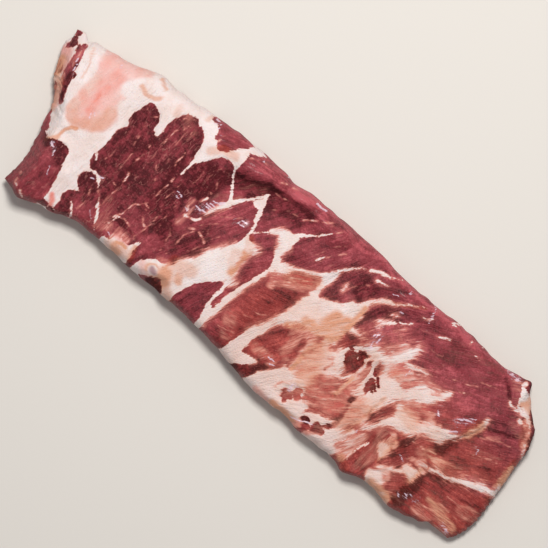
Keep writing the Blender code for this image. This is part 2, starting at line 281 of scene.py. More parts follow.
FAT_PATCHES = (
    # cartilage tip and the fat beside it on the brisket edge
    ((-77.6, -62), (-76.5, -51), (-74, -45.5), (-70, -40.5),
     (-66, -38.8), (-61, -39.3), (-58, -43), (-58.5, -46.5), (-62, -49.5), (-68, -53),
     (-74, -60)),
    ((-58.5, -41), (-52, -43), (-50, -48), (-52.5, -50.5), (-56, -47.5), (-60, -46.5)),
    # head of the fat seam under the rolled edge
    ((-39, 47.6), (-41.5, 42), (-43.6, 37), (-41, 35.6), (-38, 34.6), (-35.6, 30),
     (-34, 26), (-33.6, 30), (-35, 36), (-36.8, 42)),
    # broad fat seam
    ((-31.5, 17), (-29, 15), (-24, 14.5), (-18.5, 12.5), (-22, 8), (-24, 3),
     (-22.5, -6), (-19.5, -12), (-21.5, -17.5), (-27, -23), (-32, -28), (-35.5, -33),
     (-38.5, -40), (-41, -47), (-43, -58), (-54, -60), (-52, -52), (-50, -47),
     (-53, -43), (-60, -40), (-62.5, -38), (-58, -36.5), (-55.5, -33), (-54.5, -29),
     (-51, -24), (-48, -20), (-45.5, -12), (-43, -8), (-38.5, -1), (-35, 4),
     (-32.5, 9)),
    # second seam
    ((-20, -17), (-20.5, -25), (-20.8, -33), (-20.3, -40), (-18.5, -45), (-18, -50),
     (-19.5, -62), (-15, -62), (-13, -52), (-12, -44), (-10.5, -35), (-10, -27),
     (-9.2, -20), (-8, -13), (-5.8, -6), (-4.2, 0), (-2.6, 7), (-0.6, 12), (-3, 14),
     (-4.8, 9), (-6.8, 2), (-8.8, -5), (-10.8, -11), (-14.6, -15)),
    # its head
    ((-17, 33.5), (-11, 37.5), (-5, 40), (-2.3, 39), (-2.8, 33), (-3.2, 26),
     (-3.5, 20.5), (-1, 17.8), (4, 17.5), (9, 18.5), (6, 14.5), (2, 11.5), (-1, 12),
     (-2, 8), (-5, 12), (-7, 18), (-10, 24), (-11.5, 28), (-15, 31.5)),
    # head of the third seam
    ((24.5, 30.5), (28, 34), (31, 38.5), (34, 41.5), (34.3, 35), (33.6, 29),
     (32.8, 22), (31, 15), (29, 16), (29.8, 24), (28.5, 28)),
    # third seam
    ((4, -64), (8, -54), (10, -48), (10.5, -43), (12, -36), (15, -28),
     (18.5, -22), (21, -17), (23.5, -10), (26, -2), (27, 5), (30, 4),
     (30, -3), (31, -7), (28, -10), (25.5, -15), (24, -20), (23, -26),
     (21.5, -31), (20, -36), (20, -42), (20.5, -46.5), (26, -45.5), (32.5, -45),
     (30.5, -49), (27, -53), (22, -56), (18, -62)),
    # white field between the third and fourth seams, tan towards the belly
    ((27, 5), (28.5, 12), (31, 17), (33.5, 18.4), (36, 17.4), (40, 20.5), (46, 22),
     (50, 24), (52.5, 27), (54, 31), (58, 32), (60.5, 34.5), (62, 37.5),
     (65, 38), (64.6, 30), (65.5, 22), (64.5, 12), (63, 4), (61, -3), (56, 1),
     (52, -1), (46, -2), (41, -1), (36, -4), (31, -9), (27, -12), (26, -4)),
    # band above the torn spots
    ((74.5, 6), (78, 10), (82, 13), (86, 16.5), (92, 18), (97, 18.5), (101, 21),
     (104, 26.5), (107, 33), (110, 37.5), (112.3, 36.5), (112, 31), (110.5, 26),
     (106, 21), (103.5, 17.5), (102, 14), (97, 13.5), (92, 12), (91, 5),
     (91.5, -1), (88, -8), (84, -13.5), (80, -14), (73, -10), (71, 0)),
    # white field beyond them
    ((94, 13), (99, 16), (104, 14), (107, 9), (113, 10), (120, 10),
     (123.5, 9.5), (127, 14), (131, 19), (136, 21), (142, 21.5), (146, 26),
     (149, 30), (149.3, 26), (146.5, 20), (143, 15), (139, 12), (134, 9.5),
     (129, 6), (125, 2), (121.5, -3), (119, -8), (117.5, -13), (113, -15.5),
     (108, -13), (104, -14.5), (97, -15), (94.5, -12), (95.5, -4), (97, 2),
     (94, 7)),
    # fan of film over the belly muscle
    ((129, -2), (134, -2.6), (140, -1.4), (146, -1.6), (150.6, 1), (153, 4), (158, 6.4),
     (167.4, 8), (168.4, 5), (166.4, -0.6), (160, -2.8), (152, -4),
     (147, -9), (140, -13), (133, -15), (128, -20), (126, -17), (129, -12),
     (132, -6), (130, -1)),
    ((135.6, -30), (138.6, -27.4), (142.6, -27.4), (144, -30), (142.4, -36), (139.6, -36)),
    # fat along the brisket edge, from the middle to the belly
    ((33.5, -64), (36, -55), (38, -50), (41, -46.5), (45, -42), (48, -38),
     (50, -33.5), (54, -34), (57, -33), (59, -38), (56, -42), (54, -47),
     (52, -54), (50, -64)),
    ((50, -64), (51.5, -54), (54.5, -47), (58, -41), (60, -36),
     (66, -34), (72, -38.5), (74, -44), (80, -43), (80.5, -50), (79.5, -55),
     (77, -58.6), (76, -66)),
    ((79, -57), (81, -50), (84, -47), (88, -45), (94, -42), (100, -40.5), (102.5, -41),
     (104.5, -46), (105, -53), (104, -62), (92, -62), (91.5, -53.5), (86, -54.6), (82, -56.6)),
    ((92, -66), (92, -56), (97, -56.5), (101, -54), (101, -48), (103, -44),
     (108, -42), (111, -46), (110, -53), (112, -58), (116, -66)),
    ((143, -53), (145, -49.5), (148, -47), (152, -46.6), (154.5, -49), (157, -53), (166, -54.5),
     (167.5, -60), (160, -66), (148, -66), (147, -58)),
    ((159, -30.4), (161, -28.6), (165, -27.6), (169, -27), (169.4, -32), (168.4, -35.4), (165, -34),
     (161.6, -33.6)),
    # chunk at the belly end's top corner
    ((182.6, 68.4), (187, 66.6), (194, 65.6), (197, 66.6), (199, 62), (202, 60), (201.6, 56),
     (196, 55.2), (191, 55.5), (188.8, 56.5), (187, 61)),
)
# Narrow seams, sinews and flecks of fat: points of x, y and width.
FAT_SEAMS = (
    ((-143.5, -22.2, 1.2), (-137, -23, 2.2), (-131.5, -29, 0.9)),
    ((-149, -10.5, 1.2), (-145.5, -15, 1.2)),
    ((-94.3, 28, 1.4), (-94.4, 18, 0.9)),
    ((-126.5, -33, 0.7), (-124, -38, 1.4), (-121.3, -40.5, 1.9), (-119, -45, 1.2), (-116.5, -49, 1),
     (-114.5, -52.5, 0.6)),
    ((-139, -48.5, 0.8), (-136.5, -51.5, 1.7), (-134, -55, 1.5), (-132, -58.5, 0.8)),
    ((-149.5, -51, 0.8), (-147.6, -56, 1.4), (-145, -61, 1.6)),
    ((-109.6, -42, 0.5), (-108.6, -38, 0.7), (-107.6, -34.4, 1.3), (-104, -33.4, 0.5)),
    ((-69.5, 62.5, 4), (-64, 64.5, 3), (-58, 66.8, 0.6)),
    ((-70, 47.5, 1.4), (-67, 42, 1.4), (-62, 34.5, 1.7), (-57, 27.5, 2.4), (-55, 24, 3.4)),
    ((-39, 47.4, 0.9), (-44.8, 39, 1.8), (-51, 31, 2.4), (-55.4, 25, 4.2), (-58.5, 18, 2.2), (-61, 12, 1.1),
     (-63, 8, 0.6)),
    ((-38, 42, 1.4), (-35, 34, 2.2), (-32.6, 27, 1.9), (-31.2, 20, 1.6), (-31, 13, 2.6)),
    ((-29.5, 20, 1.2), (-24, 26, 1.2), (-18, 32, 1.8), (-12, 36.5, 2.6)),
    ((-5, 40, 2.6), (1, 45, 1.7), (7, 51, 1.1), (12, 57, 0.8)),
    ((16, 35.5, 1.2), (17.5, 38.5, 1.8), (19.5, 41, 0.7)),
    ((0, 17, 2.4), (7, 20, 1.8), (13, 23.5, 1), (20, 27.5, 0.9), (26, 31, 1.8)),
    ((33, 40.5, 2), (37, 46, 1.4), (42, 51, 0.9), (46, 55, 0.5)),
    ((63, 2, 1.6), (63.5, 14, 1.8), (65, 26, 1.7), (63.6, 36, 1.9), (67, 42, 1.6),
     (72, 47.3, 1.4), (79, 50, 1.1), (84, 54.5, 0.9), (90, 59, 0.8), (97, 63, 0.5)),
    ((66, -7.6, 1.6), (71, -4, 1.8), (76, -0.6, 1.4)),
    ((50, 56.2, 2), (54, 59, 2.2), (60, 60.8, 1.2), (64, 62.3, 0.9), (71, 67, 0.7)),
    ((57, 53.8, 0.8), (61, 54.8, 1.3), (66, 56.3, 0.7)),
    ((80, 33.4, 1), (82.5, 36.5, 2.2), (85.5, 39.3, 1.8), (87, 40.6, 0.8)),
    ((82.5, 43.5, 1.4), (85, 45.5, 1.4)),
    ((88, 43, 0.8), (92, 44, 1.2), (96.5, 47.5, 0.7)),
    ((65, 16, 2), (69.5, 16.4, 1.8), (74, 17.6, 1.3)),
    ((44, 33, 0.8), (44.4, 36.5, 1.8)),
    ((112, 24.5, 2.2), (118, 26, 1.2), (127, 28.5, 0.6)),
    ((129.5, -35, 0.7), (127.3, -40, 1.1), (125.6, -46, 1.2), (124.6, -51, 1.1), (126, -54, 0.7)),
    ((116, -37, 1.2), (113.5, -43, 1.6), (111, -49, 2.2), (110.5, -57, 2.4)),
    ((118.5, -30, 1), (121.5, -26.5, 1.7), (126, -21, 1.7), (131, -16.5, 1.4)),
    ((146.5, -43, 0.9), (151, -40, 1.5), (156, -37, 1.5), (160, -34.5, 2)),
    ((173.5, -20, 2), (180, -17.8, 2.2), (186, -17, 1.8), (191, -14.5, 2.4),
     (197, -11.4, 2.8), (203, -8.8, 3.4), (208, -6.6, 4), (214, -4, 3.6), (221, -2.2, 3.8)),
    ((168, 7, 2), (173, 10, 1.1), (177, 15, 0.9), (179.4, 21, 1), (181.4, 27, 2.2), (181.5, 33, 1.8)),
    ((189.5, 55, 1.2), (195, 53.4, 2), (200, 54.2, 4), (206, 51, 4), (209, 48.5, 3), (211, 45, 1.6)),
    ((197.5, 49, 1), (200, 47, 1.6)), ((184, 53, 0.8), (187, 51.5, 1.2), (193, 52, 0.8)),
    ((213.2, 37.8, 0.8), (215.8, 35.2, 2.8), (217, 31, 1.6)),
    ((217, 19, 1.2), (219.3, 8, 2.2), (220, -2, 2.6)),
    ((136.3, 67.5, 0.8), (136.6, 64, 1.2)),
    ((144, 69.3, 1), (149.5, 69, 1.4)),
    ((117, 67, 1), (120.5, 67.6, 1.2)),
    ((145, 60.6, 0.8), (150, 61.4, 0.8)),
    ((99, 56, 0.7), (103, 57.2, 1.2), (105, 60, 0.7)),
    ((116, 53, 0.6), (119.5, 55.2, 1.1), (124, 57.4, 0.8)),
)
# Muscle that shows again on top of the fat: the notch, shreds, and clots at one corner.
LEAN_ON_FAT = (
    ((-56, -47.5), (-53, -50), (-49, -55), (-45, -64), (-76, -64), (-70, -54.5),
     (-62, -50.3)),
    ((-8, -1), (-11, -6), (-13.4, -11), (-16.4, -15), (-17.6, -22), (-18.4, -30), (-18.6, -36), (-15.6, -37),
     (-14.6, -30), (-13.4, -22), (-11.6, -15), (-9.6, -9)),
    ((96.2, 13), (99, 14), (103, 12.6), (104.6, 9), (103.4, 4.6), (101, 2.4), (98.8, 4.6), (97.2, 8)),
    ((92, 5), (94.6, 7), (96.4, 3), (97.6, -4), (98.6, -10), (98, -17), (92, -17), (90.6, -8), (91.6, -1)),
    ((200.6, 60), (205, 57.4), (209.6, 53.6), (208, 50.6), (204, 51.8), (200.8, 54.2), (199.6, 57.4)),
    ((207.6, 51.4), (212, 52), (217, 46), (216, 40.6), (212, 40.6), (209.8, 44.6), (207.6, 48)),
    ((212.6, 40.4), (217, 41), (221, 36), (221, 30), (216.4, 31), (214, 36)),
    ((-157.5, -61), (-153, -60), (-149.6, -60.2), (-150.2, -63.4), (-156, -66)),
)
# Windows torn through the film down to wine-red muscle, which gape past these outlines.
WINDOW_SPREAD = 0.6     # by this far, mm
WINDOWS = (
    ((75.5, 2.5), (77, 4.7), (79.5, 6.2), (82, 5.5), (85, 3), (88, 1), (90, 0), (90, -4),
     (88, -6.5), (86.3, -8), (86, -11), (84, -13.5), (82.3, -12), (81, -8), (79, -4.5),
     (77, -1.5)),
    ((81.5, 8), (83.5, 11), (85, 12.2), (87.5, 11), (89.5, 11.5), (89.5, 9.5), (87.8, 8.3),
     (89, 5), (90.8, 2.5), (90.6, 0.4), (88, 2), (85, 5)),
    ((100.7, 0), (103, 1), (105, -1), (107, -3), (109, -4.7), (107, -5), (105.4, -4.8),
     (108, -7.2), (105.4, -7.4), (105, -9.5), (104.5, -11.7), (102.5, -10), (101, -7),
     (100.5, -4)),
    ((103.4, 4.2), (104.6, 3.8), (106.5, 1.6), (109.2, -1.4), (107.6, -0.9), (105, 1.6)),
    ((102.6, -13.4), (104, -12.9), (105.8, -13.6), (104, -14.6)),
    ((75, 6.6), (76.5, 7.6), (77.6, 6.8), (76, 5.8)),
    ((69.6, -18.6), (71.3, -17.6), (72.6, -19.6), (71.4, -21.4), (70, -20.8)),
    ((60, -45), (62, -44.4), (65, -45), (67, -47.3), (68.4, -48.8), (65.7, -50.5),
     (66.4, -52), (65, -53.2), (62, -51.7), (60.3, -49.5)),
    ((65.3, -40.5), (67, -38.8), (70.4, -38.3), (70, -42), (72.7, -43.6), (72.2, -46),
     (70, -47.2), (67, -45.7), (66, -43.5)),
    ((92.2, -49.5), (94, -47.8), (96.5, -48.7), (98.5, -50.6), (100.2, -49.8), (101.2, -52.4),
     (99, -54), (96.7, -55), (95.5, -56.8), (93.3, -56.2), (92, -53)),
    ((96.5, -48.6), (99, -45), (101.5, -42), (102, -37.5), (104.4, -37), (104.6, -41),
     (103, -44.5), (100.5, -47)),
    ((81.8, -54.6), (82.5, -52), (84, -50.4), (86, -50.4), (88.7, -52), (86, -53.2),
     (84, -54.8)),
)


def outline_depth(px, py, outline):
    """Distance in mm inside (positive) or outside (negative) a closed smooth outline, up to FAR."""
    curve = smooth_curve(outline, steps=4, closed=True)
    low, high = curve.min(axis=0) - FAR, curve.max(axis=0) + FAR
    near = (px > low[0]) & (px < high[0]) & (py > low[1]) & (py < high[1])
    qx, qy = px[near], py[near]
    depth = np.full(px.shape, -FAR)
    gap = path_distance(qx, qy, curve)[0]
    inside = np.zeros(qx.shape, dtype=bool)
    for (ax, ay), (bx, by) in zip(curve, np.roll(curve, -1, axis=0)):
        if ay != by:
            crosses = (ay > qy) != (by > qy)
            inside ^= crosses & (qx < (bx - ax) * (qy - ay) / (by - ay) + ax)
    depth[near] = np.where(inside, gap, -gap)
    return np.clip(depth, -FAR, FAR)


def seam_depth(px, py, points):
    """Distance in mm inside (positive) or outside (negative) a narrow seam of changing width."""
    curve = smooth_curve(points, steps=4)
    low, high = curve[:, :2].min(axis=0) - FAR, curve[:, :2].max(axis=0) + FAR
    near = (px > low[0]) & (px < high[0]) & (py > low[1]) & (py < high[1])
    depth = np.full(px.shape, -FAR)
    gap, share, side = path_distance(px[near], py[near], curve[:, :2])
    half = np.interp(share, np.linspace(0.0, 1.0, len(curve)), curve[:, 2]) / 2
    depth[near] = half - gap
    return np.clip(depth, -FAR, FAR)


# Borders wander a little, as muscle does. Down the rims they slant away too, but not on the sloping
# face of the shoulder end.
BORDER_WANDER = 0.5     # how far, mm
WANDER_RUN = 3.1        # over what distance
RIM_SLANT = 9.0         # how far at the foot of a rim
SLANT_RUN = 17          # over what distance
down_rim = (1 - np.where(x > 0, rise, rise_wide[None, :])) ** 3
wx = x + BORDER_WANDER * rough(x, y, WANDER_RUN, WANDER_RUN, 11)
wx += RIM_SLANT * down_rim * rough(x, y, SLANT_RUN, SLANT_RUN, 13)
wy = y + BORDER_WANDER * rough(x, y, WANDER_RUN, WANDER_RUN, 12)
wy += RIM_SLANT * down_rim * rough(x, y, SLANT_RUN, SLANT_RUN, 14)
lean = np.full(x.shape, -FAR)
for outline in MUSCLES:
    lean = np.maximum(lean, outline_depth(wx, wy, outline))
fat = np.full(x.shape, -FAR)
for piece_depth in ([outline_depth(wx, wy, outline) for outline in FAT_PATCHES]
                    + [seam_depth(wx, wy, points) for points in FAT_SEAMS]):
    # pieces of fat that touch grow together
    fat = np.maximum(fat, piece_depth) + FAT_WELD * np.log1p(np.exp(-np.abs(fat - piece_depth) / FAT_WELD))
lean = np.minimum(lean, -fat)
for outline in LEAN_ON_FAT:
    lean = np.maximum(lean, outline_depth(wx, wy, outline))
for outline in WINDOWS:
    lean = np.maximum(lean, outline_depth(wx, wy, outline) + WINDOW_SPREAD)

# ---------------------------------------------------------------------------------------------------
# Tints of the meat side. Lean is darker where it is coarse, and shade is painted dark into the hollows under
# the rolled edge and below the top edge's ridge. Film lies over it in pale hazes, wet shine is painted in as
# pale highlights, and fat runs from white through cream to salmon. Each is a soft stroke of a broad brush.
# ---------------------------------------------------------------------------------------------------
# Each row is one stroke: its path's points as x, y, x, y and so on, then its half width and strength.
# Later strokes go over earlier ones. First, how dark the lean is, with painted shade in the hollows under
# the rolled edge and below the top edge's ridge, and a top rim kept light as if lit.
DARK_AND_PAINTED_SHADE = (
    (-220, 0, 230, 0, 200, 0.45), (-205, 35, -196, 8, 12, 0.3), (-198, 24, -192, 6, 5, 0.8),
    (-174, -60, -171, -38, 22, 0.5), (-180, -26, -168, -25, -163, -32, 6, 0.78),
    (-138, -30, -138, 34, 18, 0.8), (-112, -30, -112, 45, 18, 0.76), (-84, -30, -82, 38, 15, 0.84),
    (-100, 26, -96, -24, 4, 0.88), (-124, 20, -122, -30, 3.5, 0.85), (-88, 34, -76, 28, 9, 1),
    (-84, 4, -78, -24, 6, 0.85), (-135, -55, -100, -50, 14, 0.42), (-103, -38, -95, -30, 10, 0.55),
    (-80, -34, -72, -42, 7, 0.35), (-85, 64, -84, 52, 12, 0.45),
    # painted light and shade: the top rim kept light as if lit, then dark bands in the hollow under the
    # rolled edge
    (-64, 64, -38, 63, 20, 66, 60, 68, 7, 0.14), (-64, 60, -40, 62, 7, 0.32),
    (-67, 39, -54, 43, -42, 49, 6, 0.95), (-44, 49, -24, 51, -8, 55, 5, 0.95), (-34, 42, -10, 49, 6, 0.75),
    (-54, 33, -48, 40, 5, 0.7), (-58, -22, -50, -4, 10, 0.8), (-47, 8, -46, 0, 4, 0.58),
    (-44, 20, -42, 30, 7, 0.45), (-28, 30, -20, 42, 7, 0.55), (-32, 46, -16, 51, 5, 0.8),
    (-20, 8, -14, 24, 7, 0.45), (-30, -46, -24, -26, 9, 0.58), (-4, -50, 2, -20, 14, 0, 13, 0.5),
    (5, -54, 0, -46, 6, 0.6), (-4, -38, 0, -34, 6, 0.38), (20, 8, 24, 0, 4, 0.6), (6, 30, 14, 56, 12, 0.5),
    (3, 24, 8, 30, 5, 0.75), (34, 24, 42, 24, 6, 0.65), (24, -28, 34, -14, 7, 0.6),
    (26, -38, 42, -34, 6, 0.22), (30, -30, 42, -20, 5, 0.35), (22, -58, 36, -46, 6, 0.8),
    # painted shade in the hollows below the ridge along the top edge, and the top rim again kept light as if
    # lit
    (48, -12, 50, -30, 4, 0.5), (37, 36, 48, 54, 7, 0.7), (56, 42, 64, 54, 9, 0.86),
    (70, 18, 72, 28, 76, 44, 7, 0.85), (78, 18, 80, 28, 5, 0.72), (80, 43, 86, 44, 3, 1),
    (90, 50, 150, 50, 8, 0.72), (60, 60, 150, 57, 8, 0.5), (70, 68, 165, 67, 4, 0.16),
    (20, 62, 60, 60, 6, 0.36), (82, 22, 98, 36, 11, 0.38), (110, 34, 150, 36, 8, 0.42),
    (112, 18, 122, 14, 8, 0.15), (82, 4, 85, -9, 8, 0.72), (84, 11, 88, 10, 2, 0.9),
    (77, 1, 80, -4, 2, 0.8), (98, 11, 100, 9, 3, 0.55), (99, 7, 101, 4, 2.6, 0.85),
    (101, -1, 104, -9, 5, 0.66), (105, -3, 107, -7, 2, 0.85), (104, 3.5, 109, -2, 1.5, 0.9),
    (94, 2, 94.5, -22, 3, 0.42), (75, -5, 71, -7, 2, 0.6), (71, -20, 71, -18, 2.5, 1),
    (100, -15, 100, -27, 2.6, 0.85), (100.5, -28, 102.5, -36, 1.3, 0.9), (63, -49, 70, -42, 6, 0.5),
    (96, -54, 100, -46, 104, -38, 4, 0.85), (83, -53, 87, -52, 3, 0.95), (76, -40, 94, -26, 9, 0.25),
    (113, -38, 111, -43, 3, 0.85), (121, -2, 121, -24, 3, 0.75), (124, -34, 128, -24, 6, 0.45),
    (133, -54, 133, -36, 7, 0.56), (128, -56, 138, -56, 3, 0.3), (148, -8, 149, -28, 4, 0.8),
    (157, -31, 158, -35, 2.5, 0.95), (164, -48, 162, -41, 6, 0.5), (133.5, -21, 134, -29, 1.4, 0.85),
    (117.5, -18, 114.5, -30, 112, -38, 112, -43, 1.4, 0.85), (152, -30, 156, -26, 4, 0.55),
    (172, -50, 173, -24, 5, 0.9), (182, -26, 196, -20, 6, 0.62), (205, -25, 218, -25, 10, 0.42),
    (170, -4, 176, 6, 183, 20, 5, 0.9), (190, 10, 205, 22, 12, 0.5), (186, 32, 206, 42, 4, 0.64),
    (184, 44, 200, 48, 6, 0.5), (150, 30, 168, 24, 12, 0.36), (150, 60, 180, 58, 9, 0.5),
    (160, 66, 180, 70, 4, 0.3), (184, 70, 188, 70, 5, 0.85), (190, 31, 198, 34, 205, 38, 1.4, 0.9),
    (171, 63, 175, 61, 179, 58.5, 183.5, 54, 1.4, 1), (172, 28, 168, 22, 3, 0.65),
    (-196, 18, -192, 3, 3.5, 0.95), (-195.6, 20, -195.6, 13.5, 0.9, 1), (-208.5, 18, -207, 12, 1.1, 1),
    (-214, 40, -211, 34, 4, 0.8), (-144, -46, -140, -56, 5, 0.75), (-148.5, -57.5, -145, -62, 1.2, 1),
    (-156, -62, -151, -62, 3, 0.6), (-106, -36, -92, -37, 2, 0.85), (-79, -53, -75, -45, -71, -39, 3, 0.75),
    (218, 14, 219, -8, 3, 0.7), (203, 60, 214, 50, 219, 34, 4, 1), (-60, -54, -52, -56, 5, 0.95),
    (99.6, -15, 100.4, -22, 2, 0.95), (101, -24, 103, -34, 103.5, -44, 1.1, 0.7),
    (-76, 8, -74, -8, 3.5, 0.55), (124, -4, 124, -20, 4, 0.68), (134, -18, 134, -27, 3, 0.62),
)
# how pale the film over the muscle makes it
PALE = (
    (150, 40, 150, -50, 40, 0.06), (58, -8, 68, -34, 9, 0.64), (66, -6, 75, -20, 6, 0.8),
    (66, -3, 70, -1, 74, 2, 2.4, 0.4), (66, 4, 74, 10, 80, 14, 5, 0.05), (69, -8, 75, -5, 1.8, 0.5),
    (74.5, -8, 72.5, -12, 71.5, -17, 1.1, 0.35), (50, 17, 57, 21, 1.6, 0.9),
    (30, -12, 38, -7, 46, -4, 2.6, 0.55), (42, -10, 45, -26, 6, 0.36), (48, -12, 49, -26, 2.4, 0.05),
    (56, 0, 52, -10, 3, 0.25), (58, -8, 53, -14, 2, 0.5), (54, -18, 56, -34, 4, 0.6),
    (75, -27, 76, -42, 6, 0.33), (82, -21, 94, -20, 5, 0.36), (94, 4, 94, -8, 93, -22, 3, 0.2),
    (91, 4, 91, -10, 89, -20, 1.2, 0.72), (94.6, 4, 95, -14, 3, 0.36), (98.6, 12.5, 98, 8, 2.6, 0.12),
    (102, 0, 105, -8, 3.5, 0.12), (80, 4, 85, -8, 4, 0.08), (103, 10, 105, 7, 2.6, 0.42),
    (100.3, -15, 100, -27, 2.6, 0.12), (105, -16, 112, -30, 4, 0.52), (86, -36, 98, -28, 7, 0.36),
    (83, -44, 88, -40, 3, 0.15), (104, -16, 107, -30, 5, 0.55), (110, -14, 115, -26, 4, 0.62),
    (106, -32, 108, -40, 4, 0.6), (121, -3, 121, -24, 3, 0.06), (126, -2, 126, -12, 3.5, 0.2),
    (132, -8, 146, -7, 6, 0.9), (130, -2, 142, 1, 4, 0.62), (134, -20, 141, -23, 3.5, 0.36),
    (114, -42, 120, -50, 5, 0.34), (134, -48, 134, -36, 6, 0.16), (126, -24, 123, -30, 4, 0.14),
    (123, -36, 118, -50, 4.5, 0.5), (149, -10, 149, -26, 3, 0.04), (160, -14, 168, -12, 4, 0.24),
    (166, -20, 171, -24, 3, 0.55), (161, -31, 167, -31, 3, 0.7), (146, -50, 152, -46, 4, 0.9),
    (150, -56, 164, -56, 3, 0.7), (162, -40, 163, -49, 4.5, 0.1), (151, -41, 155, -45, 3, 0.45),
    (160, -23, 170, -21, 2, 0.5), (138, -19, 143, -24, 3, 0.5), (136, -21, 138, -27, 2, 0.45),
    (133.5, -21, 133.5, -30, 1.2, 0.05), (112, -44, 122, -50, 4, 0.5),
    (104, 18, 112, 14, 122, 18, 4.5, 0.4), (128, 3, 138, 8, 149, 9, 3, 0.42),
    (127, -5, 129, -14, 2.6, 0.42), (152, 4, 156, 0, 4, 0.55), (134, 6, 146, 9, 3, 0.3),
    (106, 15, 119, 15, 5, 0.52), (128, 22, 140, 24, 4, 0.38), (92, 22, 104, 30, 5.5, 0.45),
    (85, 26, 90, 20, 4, 0.22), (174, -13, 190, -9, 3.5, 0.5), (184, -11, 202, -4, 4, 0.2),
    (186, -32, 214, -31, 4, 0.08), (190, -36, 214, -42, 4, 0.34), (186, -47, 212, -45, 4, 0.3),
    (210, -26, 220, -24, 4, 0.3), (216, 14, 218, -2, 2.4, 0.28), (203, 50, 208, 45, 213, 37, 3, 0.42),
    (196, 44, 206, 40, 4, 0.14), (180, 66, 186, 58, 4, 0.2), (184, 71, 184.6, 69, 1.4, 0.6),
    (190, 24, 196, 29, 1.6, 0.25), (188, 8, 206, 15, 4, 0.15), (4, -44, -3, -32, 5, 0.22),
    (6, 10, 24, 20, 6, 0.33), (20, 25, 28, 27, 3, 0.42), (-22, 12, -22, -8, 3, 0.4),
    (-95, -42, -108, -44, 4, 0.25), (-118, 50, -110, 44, 5, 0.16), (70, -52, 82, -58, 4, 0.85),
    (96, -58, 112, -56, 4, 0.9), (84, -53, 88, -53, 2, 0.05), (52, -36, 55, -41, 52, -48, 2.5, 0.25),
    (52, -56, 51, -60, 2, 0.2), (116, -48, 122, -56, 3, 0.4), (128, -20, 132, -26, 3, 0.25),
    (46, -4, 52, -8, 4, 0.5), (48, 22, 52, 20, 3, 0.9), (-62, 22, -54, 30, 5, 0.2),
    (-58, 40, -44, 48, 3, 0.12), (-84, 36, -74, -30, 3, 0), (-204.5, 36, -203, 24, 1.6, 0.3),
    (-213, 28, -209, 24, 3, 0.8), (-212, 20, -210, 12, 3, 0.5),
    (-204, 15, -202, 9, -197, 3, -194, -4, 1.3, 0.6), (-202, 4, -197, -8, 2, 0.3),
    (-119, -30, -113, -48, 4, 0.22), (-98, -43, -92, -42.5, 2.4, 0.5), (-102, -48, -100, -46, 2, 0.5),
    (-66, -38, -60, -36, 3, 0.3), (60, 3, 66, -2, 2, 0.2), (118, 20, 112, 14, 4, 0.45),
    (136, 16, 130, 12, 3, 0.2), (95, 20, 98, 28, 96, 34, 3, 0.3), (88, 24, 92, 32, 4, 0.1),
    (70, 18, 72, 28, 78, 22, 6, 0.06), (99.6, -15, 100.4, -22, 2.2, 0.05),
    (101, -24, 103, -34, 103.5, -44, 1.1, 0.28), (124, -4, 124, -20, 4, 0.08), (134, -17, 134, -28, 3, 0.2),
    (66, -48, 72, -42, 5, 0.22), (95, -53, 100, -49, 4, 0.22), (203, 57, 212, 47, 218, 35, 3, 0.02),
    (-76, 8, -73.5, 0, -74, -8, 3, 0.3), (2, 8, 4, 2, 3, 0.4), (26, -38, 40, -38, 4, 0.24),
)
